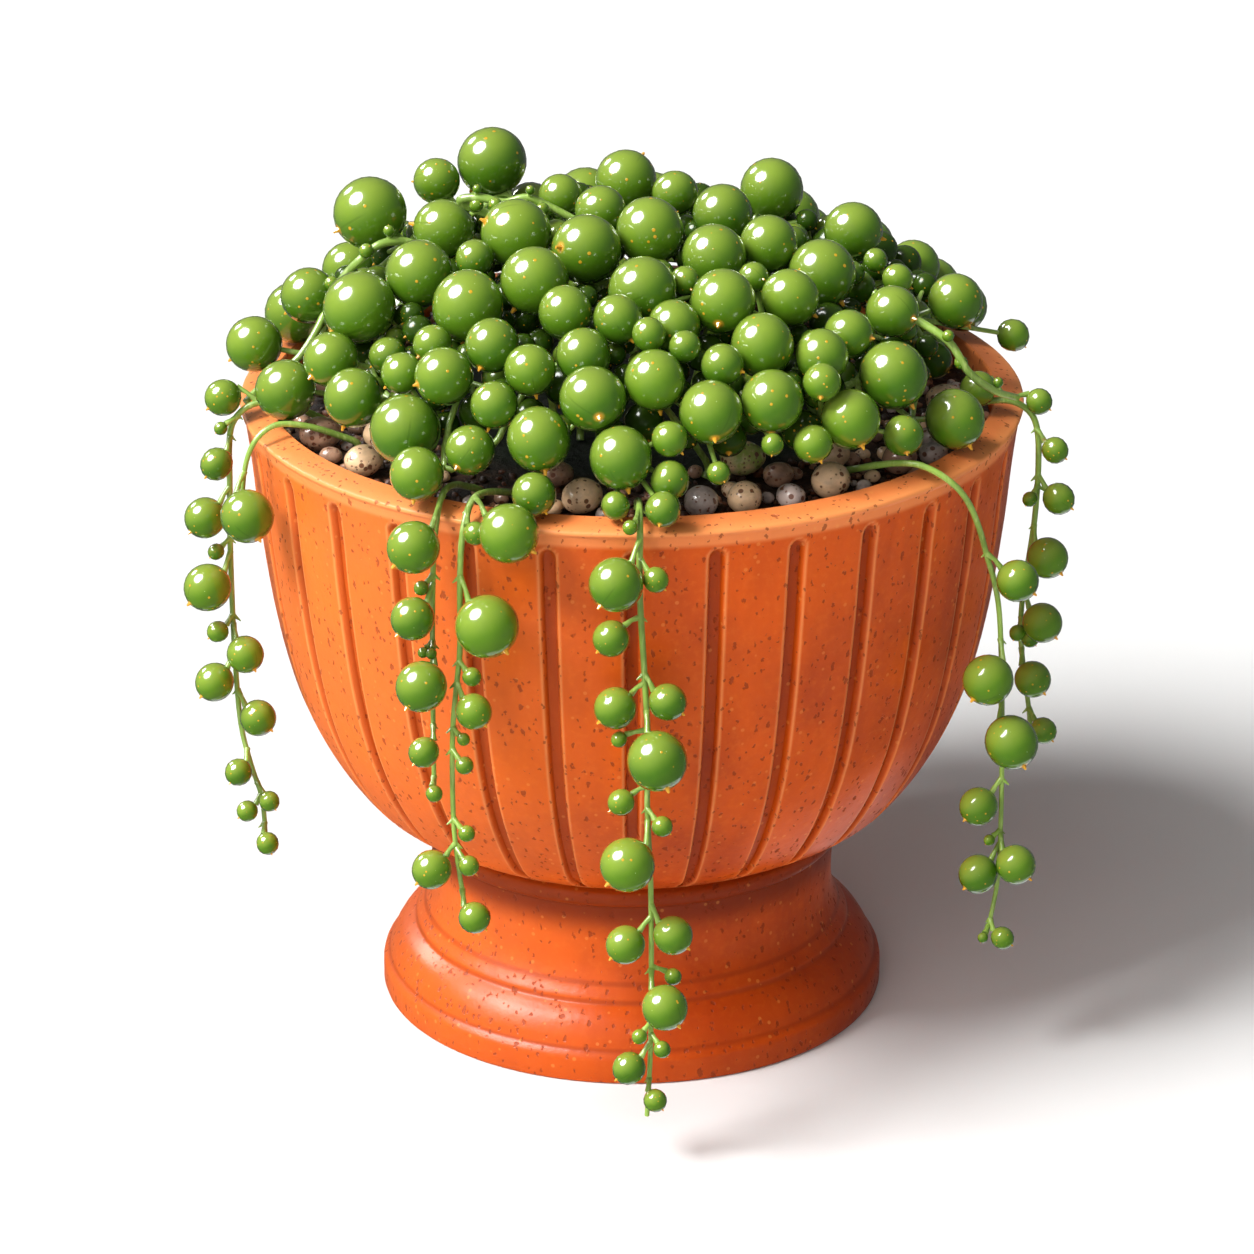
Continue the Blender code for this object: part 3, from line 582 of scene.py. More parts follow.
def crumb_finish(settings):
    """Soil crumbs and grit: from black earth through rust to a few pale grains."""
    made = Finish("crumbs", specular_ior_level=0.5)
    tone = made.attribute("tone")
    mottle = made.noise(made.place(), 1600, 3)
    body = made.blend(made.ramp(tone, 0.35, 0.75), shaded(settings.earth, 1.6), (0.17, 0.052, 0.018))
    body = made.blend(made.ramp(tone, 0.86, 0.93), body, (0.42, 0.20, 0.10))
    body = made.blend(made.ramp(mottle, 0.4, 0.7) * 0.5, body, shaded(settings.earth, 1.2))
    return made.finished(body, 0.35 + mottle * 0.4, mottle, 0.0003, 0.6)


def stone_finish(name, light, dark):
    """A glossy pebble with brown freckles and cloudy bands."""
    made = Finish("stone_" + name, specular_ior_level=0.6, coat_weight=0.7, coat_roughness=0.08)
    where = made.place()
    clouds = made.ramp(made.noise(where, 300, 4), 0.38, 0.66)
    bands = made.ramp(made.noise(made.stretched(where, (1, 1, 3)), 260, 2), 0.45, 0.62)
    body = made.blend(clouds, light, dark)
    body = made.blend(bands * 0.35, body, shaded(light, 1.15))
    freckles = made.specks(where, 800, 0.36, 0.5, 0.25)
    dots = made.specks(where, 1500, 0.32, 0.4, 0.3)
    marks = (freckles + dots * 0.8).maths("MINIMUM", 1.0)
    body = made.blend(marks * 0.92, body, (0.17, 0.045, 0.012))
    return made.finished(body, 0.24 + clouds * 0.16 + marks * 0.25, clouds * 0.4 - marks, 0.00016, 0.6)


def leaf_finish(settings):
    """A waxy leaf: its tip is dry, a thin window line runs up to it, and it has a few pale dots."""
    made = Finish("leaf", specular_ior_level=0.25, coat_weight=1.0, coat_roughness=0.05, coat_ior=1.5,
                  subsurface_weight=0.06, subsurface_scale=0.0012)
    made.shader.inputs["Subsurface Radius"].default_value = (0.6, 1.0, 0.15)
    tone = made.attribute("tone")
    leaf = made.attribute("leaf", "Vector")
    parts = made.node("SeparateXYZ", {}, {0: leaf})
    across, along = parts.out("X"), parts.out("Z")
    mottle = made.noise(leaf, 2.6, 3)
    body = made.blend(tone * 0.7 + mottle * 0.3, colour(settings.leaf), colour(settings.old_leaf))
    # Painted light and shade: each leaf is painted paler on the side facing the painted light's direction and
    # darker on the side turned away.
    painted_light = made.attribute("painted_light")
    body = made.blend(made.ramp(painted_light, 0.6, 1.0) * 0.6, body, (0.34, 0.44, 0.06))
    body = made.blend(made.ramp(painted_light, 0.5, 0.08) * 0.6, body, shaded(settings.old_leaf, 0.5))
    # Painted shade: leaves with a tone above 1, deep in the mound, are painted dark and made less glossy.
    old = made.ramp(tone, 0.99, 1.3)
    body = made.blend(old * 0.9, body, shaded(settings.old_leaf, 0.35))
    made.feed("Coat Weight", 1.0 - old * 0.75)
    window = made.ramp(across.maths("ABSOLUTE"), 0.045, 0.012) * made.ramp(along, 0.25, 0.6)
    window = window * (parts.out("Y") > 0)
    body = made.blend(window * 0.2, body, shaded(settings.old_leaf, 0.45))
    shifted = made.node("VectorMath", {"operation": "ADD"}, {0: leaf, 1: made.node(
        "CombineXYZ", {}, {0: tone * 37, 1: tone * 11, 2: tone * 5})})
    dots = made.specks(shifted, 3.2, 0.2, 0.34, 0.35)
    body = made.blend(dots * 0.95, body, (0.66, 0.36, 0.02))
    pinpricks = made.specks(shifted, 7.0, 0.14, 0.05, 0.4)
    body = made.blend(pinpricks * 0.5, body, (0.62, 0.80, 0.30))
    tip = made.ramp(along, 0.975, 0.995)
    body = made.blend(tip, body, colour(settings.tip))
    return made.finished(body, 0.16 + mottle * 0.12 + tip * 0.25, dots - window * 0.3, 0.00012, 0.5)


def stem_finish(settings):
    """Green stems with pale lengthwise streaks and brown scars."""
    made = Finish("stem", specular_ior_level=0.5, coat_weight=0.5, coat_roughness=0.15)
    where = made.place()
    streaks = made.noise(made.stretched(where, (1, 1, 0.12)), 1500, 2)
    patches = made.ramp(made.noise(where, 130, 3), 0.4, 0.65)
    body = made.blend(patches * 0.8, colour(settings.stem), shaded(settings.stem, 0.5))
    body = made.blend(made.ramp(streaks, 0.5, 0.75) * 0.5, body, (0.55, 0.68, 0.22))
    scars = made.specks(where, 480, 0.2, 0.14, 0.5)
    body = made.blend(scars * 0.6, body, (0.35, 0.20, 0.05))
    return made.finished(body, 0.28 + streaks * 0.2, streaks - scars, 0.0001, 0.5)


def floor_finish(settings):
    made = Finish("floor", specular_ior_level=0.2)
    made.feed("Base Color", made.blend(made.noise(made.place(), 14, 3) * 0.05, colour(settings.floor),
                                       (0.74, 0.74, 0.73)))
    made.shader.inputs["Roughness"].default_value = 0.7
    return made.material


# ---------------------------------------------------------------- pot
# where columns of points stand beside a flute's middle, as shares of half its pitch: closest in the groove
COLUMN_SHARES = (0, 0.067, 0.133, 0.183, 0.233, 0.30, 0.43, 1.0)
SECTOR_MIDDLE = 90 + 180 / FLUTES  # bearing of the one flute that is shaped, in a sector that starts at +X
FLUTE_TOP = POT_HEIGHT - 0.0042
FLUTE_FOOT = FOOT_HEIGHT + 0.0011


def in_mm(points):
    return [Vector((radius * MM, height * MM, 0)) for radius, height in points]


def pot_outline(edge):
    """The pot's section as a closed loop of (radius, height), up the outside and down the inside."""
    foot, neck, rim, top = (size / MM for size in (FOOT_RADIUS, NECK_RADIUS, RIM_RADIUS, POT_HEIGHT))
    base, wall, round_edge = FOOT_HEIGHT / MM, WALL / MM, edge / MM
    recess = [(DRAIN_RADIUS / MM, base + 4 - wall), (neck - wall - 4, base + 3 - wall), (foot - 6.8, 0.9)]
    ring = [(foot - 6.4, 0.15), (foot - 5.9, 0), (foot - 0.8, 0), (foot - 0.2, 0.2), (foot, 0.8)]
    band = [(foot, 2.2), (foot, 3.7), (foot - 0.2, 4.5), (foot - 0.8, 4.95)]
    ogee = smooth_route(in_mm([(foot - 1.0, 5.3), (foot - 1.7, 7.2), (foot - 3.0, 9.2),
                               (foot - 4.6, 10.6)]), 4)
    ledge = [(foot - 5.0, 10.85), (foot - 5.3, 11.1), (foot - 5.35, 11.7)]
    flare = smooth_route(in_mm([(foot - 5.5, 12.0), (foot - 6.7, 13.7), (neck + 0.1, 16.2), (neck - 0.2, 19),
                                (neck - 0.1, 22.5), (neck + 0.2, base - 3.5)]), 5)
    bead = smooth_route(in_mm([(neck + 0.35, base - 3.4), (neck + 1.25, base - 2.9), (neck + 1.6, base - 1.8),
                               (neck + 1.3, base - 0.8), (neck + 0.6, base - 0.25)]), 4)
    bowl = smooth_route(in_mm([(neck + 0.9, base + 0.05), (neck + 2.7, base + 0.8), (neck + 6.0, base + 2.6),
                               (neck + 10.8, base + 6), (neck + 16.4, base + 14), (neck + 20.8, base + 24),
                               (neck + 23.7, base + 36), (neck + 25.7, base + 50), (neck + 26.7, base + 60),
                               (rim - 0.75, top - 4.0), (rim - 0.35, top - 1.9)]), 9)
    rim_edge = [(rim - 0.08, top - 1.45 - round_edge / 2), (rim, top - 1.4), (rim - 0.03, top - 1.15),
                (rim - 0.2, top - 0.98), (rim - 0.5, top - 0.88)]
    slope = [(rim - wall / 2, top - 0.45), (rim - wall + 0.5, top - 0.05), (rim - wall + 0.2, top - 0.02),
             (rim - wall, top - 0.22), (rim - wall - 0.06, top - 0.6)]
    inside = [(rim - wall - 0.2, top - 3), (rim - wall - 0.6, top - 8), (neck + 20.6, base + 40),
              (neck + 11.9, base + 16), (neck + 1, base + 5), (DRAIN_RADIUS / MM, base + 4)]
    whole = [*in_mm([*recess, *ring, *band]), *ogee, *in_mm(ledge), *flare, *bead, *bowl,
             *in_mm([*rim_edge, *slope, *inside])]
    return [(point.x, point.y) for point in whole]


def gather_columns(shape):
    """Turns each column of points so that most of them lie in and beside the flute."""
    half = len(COLUMN_SHARES) - 1
    pitch = 360 / FLUTES
    for corner in shape.verts:
        step = round((bearing_of(corner.co) - SECTOR_MIDDLE) * 2 * half / pitch)
        share = math.copysign(COLUMN_SHARES[abs(step)], step)
        corner.co = at(SECTOR_MIDDLE + share * pitch / 2, corner.co.xy.length, corner.co.z)


def cut_flutes(shape, settings):
    """Sinks the flutes, and notes on each point how far it lies in a groove or on an edge."""
    groove = shape.verts.layers.float.new("groove")
    # The edge value marks where the clay's painted highlight goes: the rim's outer edge and the lips beside
    # each flute.
    edge = shape.verts.layers.float.new("edge")
    middle_height = (FLUTE_TOP + FLUTE_FOOT) / 2
    for corner in shape.verts:
        radius, height = corner.co.xy.length, corner.co.z
        outside = radius > RIM_RADIUS - WALL + 0.001 or height < FOOT_HEIGHT + 0.04 and radius > NECK_RADIUS
        if height > POT_HEIGHT - 0.0016 and radius > RIM_RADIUS - 0.0007:
            corner[edge] = 1.0
        beside_flute = FLUTE_FOOT - 0.001 < height < FLUTE_TOP + 0.001
        if not (beside_flute and (outside or radius > outer_wall(height))):
            continue
        off = bearing_of(corner.co) - SECTOR_MIDDLE
        half_width = settings.flute_width / 2 * (0.2 + 0.8 * radius / RIM_RADIUS)
        end = FLUTE_TOP - half_width if height > middle_height else FLUTE_FOOT + half_width
        past = max(0.0, height - end if height > middle_height else end - height)
        spread = math.hypot(math.radians(off) * radius, past)
        deep = smooth_step((half_width - spread) / (0.42 * half_width))
        corner[groove] = deep
        corner[edge] = smooth_step(1 - abs(spread - half_width * 1.12) / (0.3 * half_width))
        corner.co.xy *= (radius - FLUTE_DEPTH * deep) / radius


def outer_wall(height):
    """A radius that lies in the middle of the bowl's wall at a height."""
    rise = (height - FOOT_HEIGHT) / (POT_HEIGHT - FOOT_HEIGHT)
    spread = min(1.0, max(0.0, rise)) ** 0.42
    return NECK_RADIUS - WALL / 2 + (RIM_RADIUS - NECK_RADIUS) * spread * 0.98


class PEARLS_OT_pot(bpy.types.Operator):
    """Turn the fluted pot"""

    bl_idname = "pearls.pot"
    bl_label = "Pot"

    def execute(self, context):
        settings = context.scene.pearls_pot
        sector = spun(pot_outline(settings.edge_radius), 2 * (len(COLUMN_SHARES) - 1), 360 / FLUTES)
        gather_columns(sector)
        cut_flutes(sector, settings)
        pattern = as_mesh("flute_pattern", sector)
        shape = bmesh.new()
        for turn in range(FLUTES):
            add_copy(shape, pattern, Matrix.Rotation(2 * math.pi * turn / FLUTES, 4, "Z"))
        place_piece("pot_turned", sealed(shape), [clay_finish(settings)], "terracotta", ["pot"])
        return {"FINISHED"}


# ---------------------------------------------------------------- soil
def soil_height(reach):
    edge = POT_HEIGHT - SOIL_BELOW_RIM
    return edge + SOIL_CROWN * (1 - (reach / (RIM_RADIUS - WALL)) ** 2)


def soil_outline():
    """Half a section of the soil: its crowned top, and its side down inside the bowl."""
    inside = RIM_RADIUS - WALL - 0.0006
    reaches = [inside * step / 30 for step in range(31)]
    top = [(reach, soil_height(reach)) for reach in reaches]
    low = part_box("soil")[0].z
    side = [(inside - 0.0008, POT_HEIGHT - 0.010), (NECK_RADIUS + 0.019, FOOT_HEIGHT + 0.040),
            (NECK_RADIUS + 0.0095, FOOT_HEIGHT + 0.016), (NECK_RADIUS - 0.004, low)]
    return [*top, *side, (0, low)]


def add_crumbs(shape, count):
    """Irregular grains, each with a tone of its own."""
    grain = bmesh.new()
    grain.verts.layers.float.new("tone")
    bmesh.ops.create_icosphere(grain, subdivisions=1, radius=1)
    pattern = as_mesh("grain_pattern", grain)
    draw = random.Random(11)
    for _ in range(count):
        reach = (RIM_RADIUS - WALL) * math.sqrt(draw.uniform(*CRUMB_SPREAD))
        size = draw.uniform(0.4, 1.0) * MM * (1 if draw.random() < 0.9 else 1.5)
        size = min(size, RIM_RADIUS - WALL - 0.0005 - reach)
        spot = at(draw.uniform(0, 360), reach, soil_height(reach) + size * 0.25)
        turn = Matrix.Rotation(draw.uniform(0, 6.3), 4, (draw.random(), draw.random(), 1))
        squeeze = Matrix.Diagonal((1, draw.uniform(0.6, 1), draw.uniform(0.5, 0.9), 1))
        place = Matrix.Translation(spot) @ turn @ squeeze @ Matrix.Scale(size, 4)
        add_copy(shape, pattern, place, draw.random())


class PEARLS_OT_soil(bpy.types.Operator):
    """Fill the pot with soil and scatter crumbs on it"""

    bl_idname = "pearls.soil"
    bl_label = "Soil"

    def execute(self, context):
        settings = context.scene.pearls_soil
        shape = sealed(spun(soil_outline(), 90, closed=False))
        for corner in shape.verts:
            reach = corner.co.xy.length
            if corner.co.z > POT_HEIGHT - 0.006 and reach < RIM_RADIUS - WALL - 0.001:
                corner.co.z += 0.0007 * noise.noise(corner.co * 420) + 0.0004 * noise.noise(corner.co * 1100)
        place_piece("soil_bed", shape, [earth_finish(settings)], "soil", ["soil"])
        crumbs = bmesh.new()
        add_crumbs(crumbs, settings.crumbs)
        place_piece("soil_crumbs", crumbs, [crumb_finish(settings)], "soil")
        return {"FINISHED"}


# ---------------------------------------------------------------- pebbles
def pebble_places():
    """Each pebble's middle, length, turn and finish, lying on the soil inside the wall."""
    limit = RIM_RADIUS - WALL
    for bearing, percent, length, turn, finish in PEBBLES:
        size = length * MM
        reach = min(percent / 100 * RIM_RADIUS, limit - size / 2 - SEAT_GAP)
        height = soil_height(reach) + PEBBLE_THICKNESS * size / 2 + 2 * SEAT_GAP
        yield at(bearing, reach, height), size, turn, finish


def gravel_places():
    for bearing, reach, diameter in GRAVEL:
        size = diameter * MM
        held = min(reach * MM, RIM_RADIUS - WALL - size / 2 - SEAT_GAP)
        yield at(bearing, held, soil_height(held) + size * 0.42), size


def grit_places():
    """Small stones scattered wherever the larger ones leave room."""
    draw = random.Random(9)
    laid = [(centre, size) for centre, size, _, _ in pebble_places()] + list(gravel_places())
    scattered = []
    for _ in range(GRIT_TRIES):
        size = draw.uniform(*GRIT_SIZES) * MM
        reach = min(RIM_RADIUS * draw.uniform(*GRIT_REACH), RIM_RADIUS - WALL - size / 2 - SEAT_GAP)
        place = at(draw.uniform(0, 360), reach, soil_height(reach) + size * 0.3)
        if all((place - other).length > (size + length) * GRIT_SPACING for other, length in laid):
            laid.append((place, size))
            scattered.append((place, size))
    return scattered


def add_pebble(shape, centre, size, turn, seed, fineness):
    """An egg-shaped stone with a slightly uneven surface."""
    stone = bmesh.ops.create_icosphere(shape, subdivisions=fineness, radius=size / 2)["verts"]
    for corner in stone:
        way = corner.co.normalized()
        corner.co *= 1 + 0.05 * noise.noise(way * 1.3 + Vector((seed * 7.3, seed, 0)))
        corner.co.yz *= 1 - 0.09 * way.x
    stretch = Matrix.Diagonal((1, PEBBLE_WIDTH, PEBBLE_THICKNESS, 1))
    turned = Matrix.Translation(centre) @ Matrix.Rotation(math.radians(turn), 4, "Z") @ stretch
    bmesh.ops.transform(shape, verts=stone, matrix=turned)


class PEARLS_OT_pebbles(bpy.types.Operator):
    """Lay the pebbles and the gravel between them"""

    bl_idname = "pearls.pebbles"
    bl_label = "Pebbles"

    def execute(self, context):
        settings = context.scene.pearls_soil
        tan, grey, brown = colour(settings.tan), colour(settings.grey), colour(settings.brown)
        finishes = {
            "tan": stone_finish("tan", tan, shaded(tan, 0.7)),
            "grey": stone_finish("grey", shaded(grey, 1.1), shaded(grey, 0.45)),
            "brown": stone_finish("brown", brown, shaded(brown, 0.45)),
            "mossy": stone_finish("mossy", (0.36, 0.44, 0.10), tan),
        }
        for number, (centre, size, turn, finish) in enumerate(pebble_places(), 1):
            shape = bmesh.new()
            add_pebble(shape, centre, size, turn, number, 4)
            place_piece(f"stone_{number:02d}", shape, [finishes[finish]], PEBBLE_SLOTS[finish],
                        [f"pebble_{number:02d}"])
        kinds = ("brown", "tan", "grey")
        for index, kind in enumerate(kinds):
            shape = bmesh.new()
            for number, (centre, size) in enumerate(gravel_places()):
                if number % len(kinds) == index:
                    add_pebble(shape, centre, size, number * 47, number + 30, 3)
            for number, (centre, size) in enumerate(grit_places()):
                if number % len(kinds) == index:
                    add_pebble(shape, centre, size, number * 31, number + 70, 2)
            place_piece("gravel_" + kind, shape, [finishes[kind]], PEBBLE_SLOTS[kind])
        return {"FINISHED"}


# ---------------------------------------------------------------- leaves and stems
def new_plant_shape():
    shape = bmesh.new()
    shape.verts.layers.float_vector.new("leaf")
    shape.verts.layers.float.new("tone")
    shape.verts.layers.float.new("painted_light")
    return shape


def note_painted_light_side(shape):
    """Notes on each point how far it faces the light that is painted into the leaves' colour: 0 away, 1
    towards it.
    """
    painted_light = shape.verts.layers.float["painted_light"]
    for corner in shape.verts:
        corner[painted_light] = 0.5 + 0.5 * corner.normal.dot(PAINTED_LIGHT_FROM)


def leaf_pattern(columns, rows):
    """A round leaf of radius 1 with a dry point at its tip, +Z."""
    shape = new_plant_shape()
    leaf = shape.verts.layers.float_vector["leaf"]
    bmesh.ops.create_uvsphere(shape, u_segments=columns, v_segments=rows, radius=1)
    bmesh.ops.create_cone(shape, cap_ends=True, segments=6, radius1=0.10, radius2=0.035, depth=0.19,
                          matrix=Matrix.Translation((0, 0, 1.055)))
    for corner in shape.verts:
        corner[leaf] = corner.co.copy()
    for face in shape.faces:
        face.material_index = 1
    return as_mesh(f"leaf_pattern_{columns}", shape)


def add_leaf(shape, centre, radius, tip, draw, painted_darkness=0.0):
    """A round leaf with its own tone, finer the bigger it is; a last argument of 1 paints it dark and less
    glossy, as painted shade deep in the mound.
    """
    columns, rows = (22, 14) if radius > 2.6 * MM else (12, 8)
    pattern = bpy.data.meshes.get(f"leaf_pattern_{columns}") or leaf_pattern(columns, rows)
    turn = pointing(tip) @ Matrix.Rotation(draw.uniform(0, 6.28), 4, "Z")
    swell = Matrix.Diagonal((draw.uniform(0.97, 1.0), draw.uniform(0.97, 1.0), draw.uniform(0.98, 1.02), 1))
    place = Matrix.Translation(centre) @ turn @ Matrix.Scale(radius, 4) @ swell
    add_copy(shape, pattern, place, draw.random() + painted_darkness)


def add_bract(shape, place, way, length):
    """A tiny pointed scale on a stem."""
    middle = Matrix.Translation(place + way.normalized() * length / 2)
    bmesh.ops.create_cone(shape, cap_ends=True, segments=6, radius1=length * 0.3, radius2=length * 0.06,
                          depth=length, matrix=middle @ pointing(way))


def stem_route(strand):
    """A trailing stem's points: straight up out of the soil, over the rim and down outside the bowl."""
    points = []
    for bearing, outside, percent in strand["route"]:
        reach = RIM_RADIUS + outside * MM
        height = percent / 100 * POT_HEIGHT
        if percent > PERCENT_AT_RIM:
            height = POT_HEIGHT + (percent - 100) * MM
        points.append(at(bearing, reach, height))
    root = points[0]
    root.z = soil_height(root.xy.length) + 2 * SEAT_GAP
    knee = root + Vector((0, 0, 2 * STEM_RADIUS))
    return [root, *smooth_route([knee, *points[1:]], 2)]


def height_on(route, height):
    """The point where a hanging stem passes a height, from its free end up."""
    for low, high in zip(reversed(route), reversed(route[:-1])):
        if low.z <= height <= high.z:
            return low.lerp(high, (height - low.z) / (high.z - low.z))
    return route[-1].copy() if height < route[-1].z else max(route, key=lambda point: point.z).copy()


def keep_off_pot(centre, radius):
    """Moves a hanging pearl outwards until it clears the pot's rim."""
    least = RIM_RADIUS + radius + SEAT_GAP
    reach = centre.xy.length
    beside_rim = POT_HEIGHT - RIM_DEPTH < centre.z < POT_HEIGHT + radius + SEAT_GAP
    if beside_rim and reach < least:
        centre.xy *= least / reach
    return centre


def spread_ways(strand):
    """The sideways and the outward direction of a trailing stem."""
    turn = math.radians(strand.get("facing", 0))
    return Vector((math.cos(turn), math.sin(turn), 0)), Vector((math.sin(turn), -math.cos(turn), 0))


def hanging_pearls(strand, route, pearls):
    """Each pearl's middle and radius, beside its stem or in front of it."""
    side, front = spread_ways(strand)
    for percent, across, diameter in pearls:
        radius = diameter * MM / 2
        height = POT_HEIGHT * percent / 100
        on_stem = height_on(route, height)
        clear = radius + STEM_RADIUS + PETIOLE_LENGTH
        forward = math.sqrt(max(0, clear**2 - (across * MM) ** 2))
        centre = on_stem + side * across * MM + front * forward
        centre.z = height
        yield keep_off_pot(centre, radius), radius, across


def add_hanging(shape, strand, route, draw, stalk_radius):
    """A trailing stem's leaves and buds, each on a stalk that leaves the stem above it."""
    side, front = spread_ways(strand)
    stalks = []
    for centre, radius, across in hanging_pearls(strand, route, strand["pearls"] + strand["buds"]):
        lean = math.copysign(min(0.85, 0.25 + abs(across) * MM / max(radius, 0.002) * 0.5), across)
        tip = (side * (lean + draw.uniform(-0.15, 0.15)) + Vector((0, 0, -0.58)) + front * 0.52).normalized()
        joint = height_on(route, centre.z + radius * 1.25)
        base = centre - tip * radius * 0.96
        bend = joint.lerp(base, 0.55) + Vector((0, 0, 0.12 * radius)) + front * 0.0002
        stalks.append([(joint, stalk_radius * 1.5), (bend, stalk_radius), (base, stalk_radius * 1.5)])
        add_leaf(shape, centre, radius, tip, draw)
        if draw.random() < 0.6:
            add_bract(shape, joint, side * -math.copysign(1, across) + Vector((0, 0, -0.8)) + front * 0.3,
                      draw.uniform(0.9, 1.6) * MM)
    return stalks


def tapered(route, thick, thin):
    last = len(route) - 1
    return [(point, thick + (thin - thick) * step / last) for step, point in enumerate(route)]


class PEARLS_OT_trailing(bpy.types.Operator):
    """Hang the trailing stems over the rim"""

    bl_idname = "pearls.trailing"
    bl_label = "Trailing stems"

    def execute(self, context):
        settings = context.scene.pearls_plant
        finishes = plant_finishes(settings)
        for number, (name, strand) in enumerate(TRAILING.items()):
            draw = random.Random(100 + number)
            route = stem_route(strand)
            shape = new_plant_shape()
            stalks = add_hanging(shape, strand, route, draw, settings.stalk_radius)
            fine = smooth_route(route, 4)
            add_tubes(shape, [tapered(fine, STEM_RADIUS * 0.95, STEM_RADIUS * 0.6), *stalks])
            note_painted_light_side(shape)
            place_piece(name.replace("strand", "trail"), shape, finishes, "pearl_green", [name])
        return {"FINISHED"}


def plant_finishes(settings):
    """The stem and leaf materials, made once."""
    return [
        bpy.data.materials.get("stem") or stem_finish(settings),
        bpy.data.materials.get("leaf") or leaf_finish(settings),
    ]


# ---------------------------------------------------------------- mound
def told_places(table):
    """The place and radius of each pearl told in a table of the mound."""
    return [(at(bearing, percent / 100 * RIM_RADIUS, POT_HEIGHT + rise * MM), diameter * MM / 2)
            for bearing, percent, rise, diameter in table]


def mound_pearls():
    """Every mound pearl's wished place and radius: the chosen ones, then the back's rows."""
    wished = told_places(MOUND)
    draw = random.Random(4)
    for first, last, percent, rise, spacing in BACK_ROWS:
        reach = percent / 100 * RIM_RADIUS
        count = round(math.radians(last - first) * reach / (spacing * MM))
        for step in range(count + 1):
            bearing = first + (last - first) * step / count + draw.uniform(-2, 2)
            height = POT_HEIGHT + (rise + draw.uniform(-1, 1)) * MM
            radius = draw.uniform(*BACK_DIAMETERS) * MM / 2
            wished.append((at(bearing, reach, height), radius))
    return wished


def mound_middle():
    return Vector((0, 0, POT_HEIGHT + MOUND_CENTRE))


def settle(wished, fixed):
    """Eases overlapping pearls apart and off the fixed balls, the rim and the pebbles, never inwards."""
    places = [place.copy() for place, _ in wished]
    sizes = [size for _, size in wished]
    least = [(place - mound_middle()).length for place in places]
    near = [[j for j in range(i) if (places[i] - places[j]).length < sizes[i] + sizes[j] + DRIFT]
            for i in range(len(places))]
    balls = [[(ball, size) for ball, size in fixed if (places[i] - ball).length < sizes[i] + size + DRIFT]
             for i in range(len(places))]
    for _ in range(SETTLE_ROUNDS):
        worst = 0.0
        for i, here in enumerate(places):
            for j in near[i]:
                apart = here - places[j]
                lack = sizes[i] + sizes[j] + PEARL_GAP - apart.length
                if lack > 0:
                    worst = max(worst, lack)
                    push = apart.normalized() * lack * SETTLE_PUSH
                    here += push
                    places[j] -= push
            for ball, size in balls[i]:
                apart = here - ball
                lack = sizes[i] + size + PEARL_GAP - apart.length
                if lack > 0:
                    worst = max(worst, lack)
                    here += apart.normalized() * lack
        for i, here in enumerate(places):
            outwards = here - mound_middle()
            if outwards.length < least[i]:
                here += outwards.normalized() * (least[i] - outwards.length)
            floor = POT_HEIGHT + sizes[i] + SEAT_GAP
            if here.xy.length > RIM_RADIUS - WALL - RIM_MARGIN:
                here.z = max(here.z, floor)
        if worst < SETTLED:
            break
    return list(zip(places, sizes))


def fixed_balls():
    """What mound pearls keep clear of: the trailing stems' tops with their pearls, and the pebbles."""
    balls = []
    for strand in TRAILING.values():
        route = stem_route(strand)
        balls += [(point, STEM_RADIUS) for point in smooth_route(route, 2) if point.z > POT_HEIGHT - STEM_TOP]
        balls += [(centre, radius) for centre, radius, _ in hanging_pearls(strand, route, strand["pearls"])
                  if centre.z > POT_HEIGHT - MOUND_FOOT]
    return balls + [(centre, size / 2) for centre, size, _, _ in pebble_places()]


def mound_strands(pearls):
    """Sorts the settled pearls into creeping stems, ring by ring and sector by sector."""
    strands = []
    for ring, (count, first, last, root) in enumerate(RINGS):
        for sector in range(count):
            middle = (sector + 0.5) * 360 / count
            members = []
            for place, radius in pearls:
                bearing = bearing_of(place) % 360
                spread = place.xy.length / RIM_RADIUS * 100
                if first <= spread < last and int(bearing / (360 / count)) == sector:
                    members.append((place, radius))
            if members:
                reach = root / 100 * RIM_RADIUS
                strands.append((f"mound_stem_{ring + 1}_{sector + 1:02d}", middle, reach, in_order(members)))
    return strands


def in_order(members):
    """The pearls of one stem, from the one nearest the middle to the nearest next one each time."""
    left = sorted(members, key=lambda pearl: pearl[0].xy.length)
    line = [left.pop(0)]
    while left:
        left.sort(key=lambda pearl: (pearl[0] - line[-1][0]).length)
        line.append(left.pop(0))
    return line


def under(place):
    """The point of a creeping stem beneath a mound pearl."""
    inwards = (mound_middle() - Vector((0, 0, CREEPER_SINK)) - place).normalized()
    return place + inwards * STEM_DEPTH


def small_pearls(settled, fixed):
    """The small pearls told in SMALL_MOUND, eased into the gaps between the settled ones."""
    return settle(told_places(SMALL_MOUND), fixed + settled)


def shell_height(share):
    """Height of the big pearls' middles above the rim, at a share of the rim's radius."""
    return SHELL_RISE * (1 - min(share, 0.999) ** 2.6) ** 0.7


def hidden_leaves(taken, tries):
    """Small leaves under and between the pearls, where there is room."""
    draw = random.Random(21)
    balls = list(taken)
    found = []
    for _ in range(tries):
        share = HIDDEN_REACH * math.sqrt(draw.random())
        depth = draw.uniform(*HIDDEN_DEPTH) * MM
        radius = draw.uniform(*HIDDEN_RADIUS) * MM
        height = POT_HEIGHT + max(shell_height(share) - depth, radius + 0.001)
        place = at(draw.uniform(0, 360), share * RIM_RADIUS, height)
        if all((place - ball).length > radius + size + 0.0001 for ball, size in balls):
            balls.append((place, radius))
            found.append((place, radius))
    return found


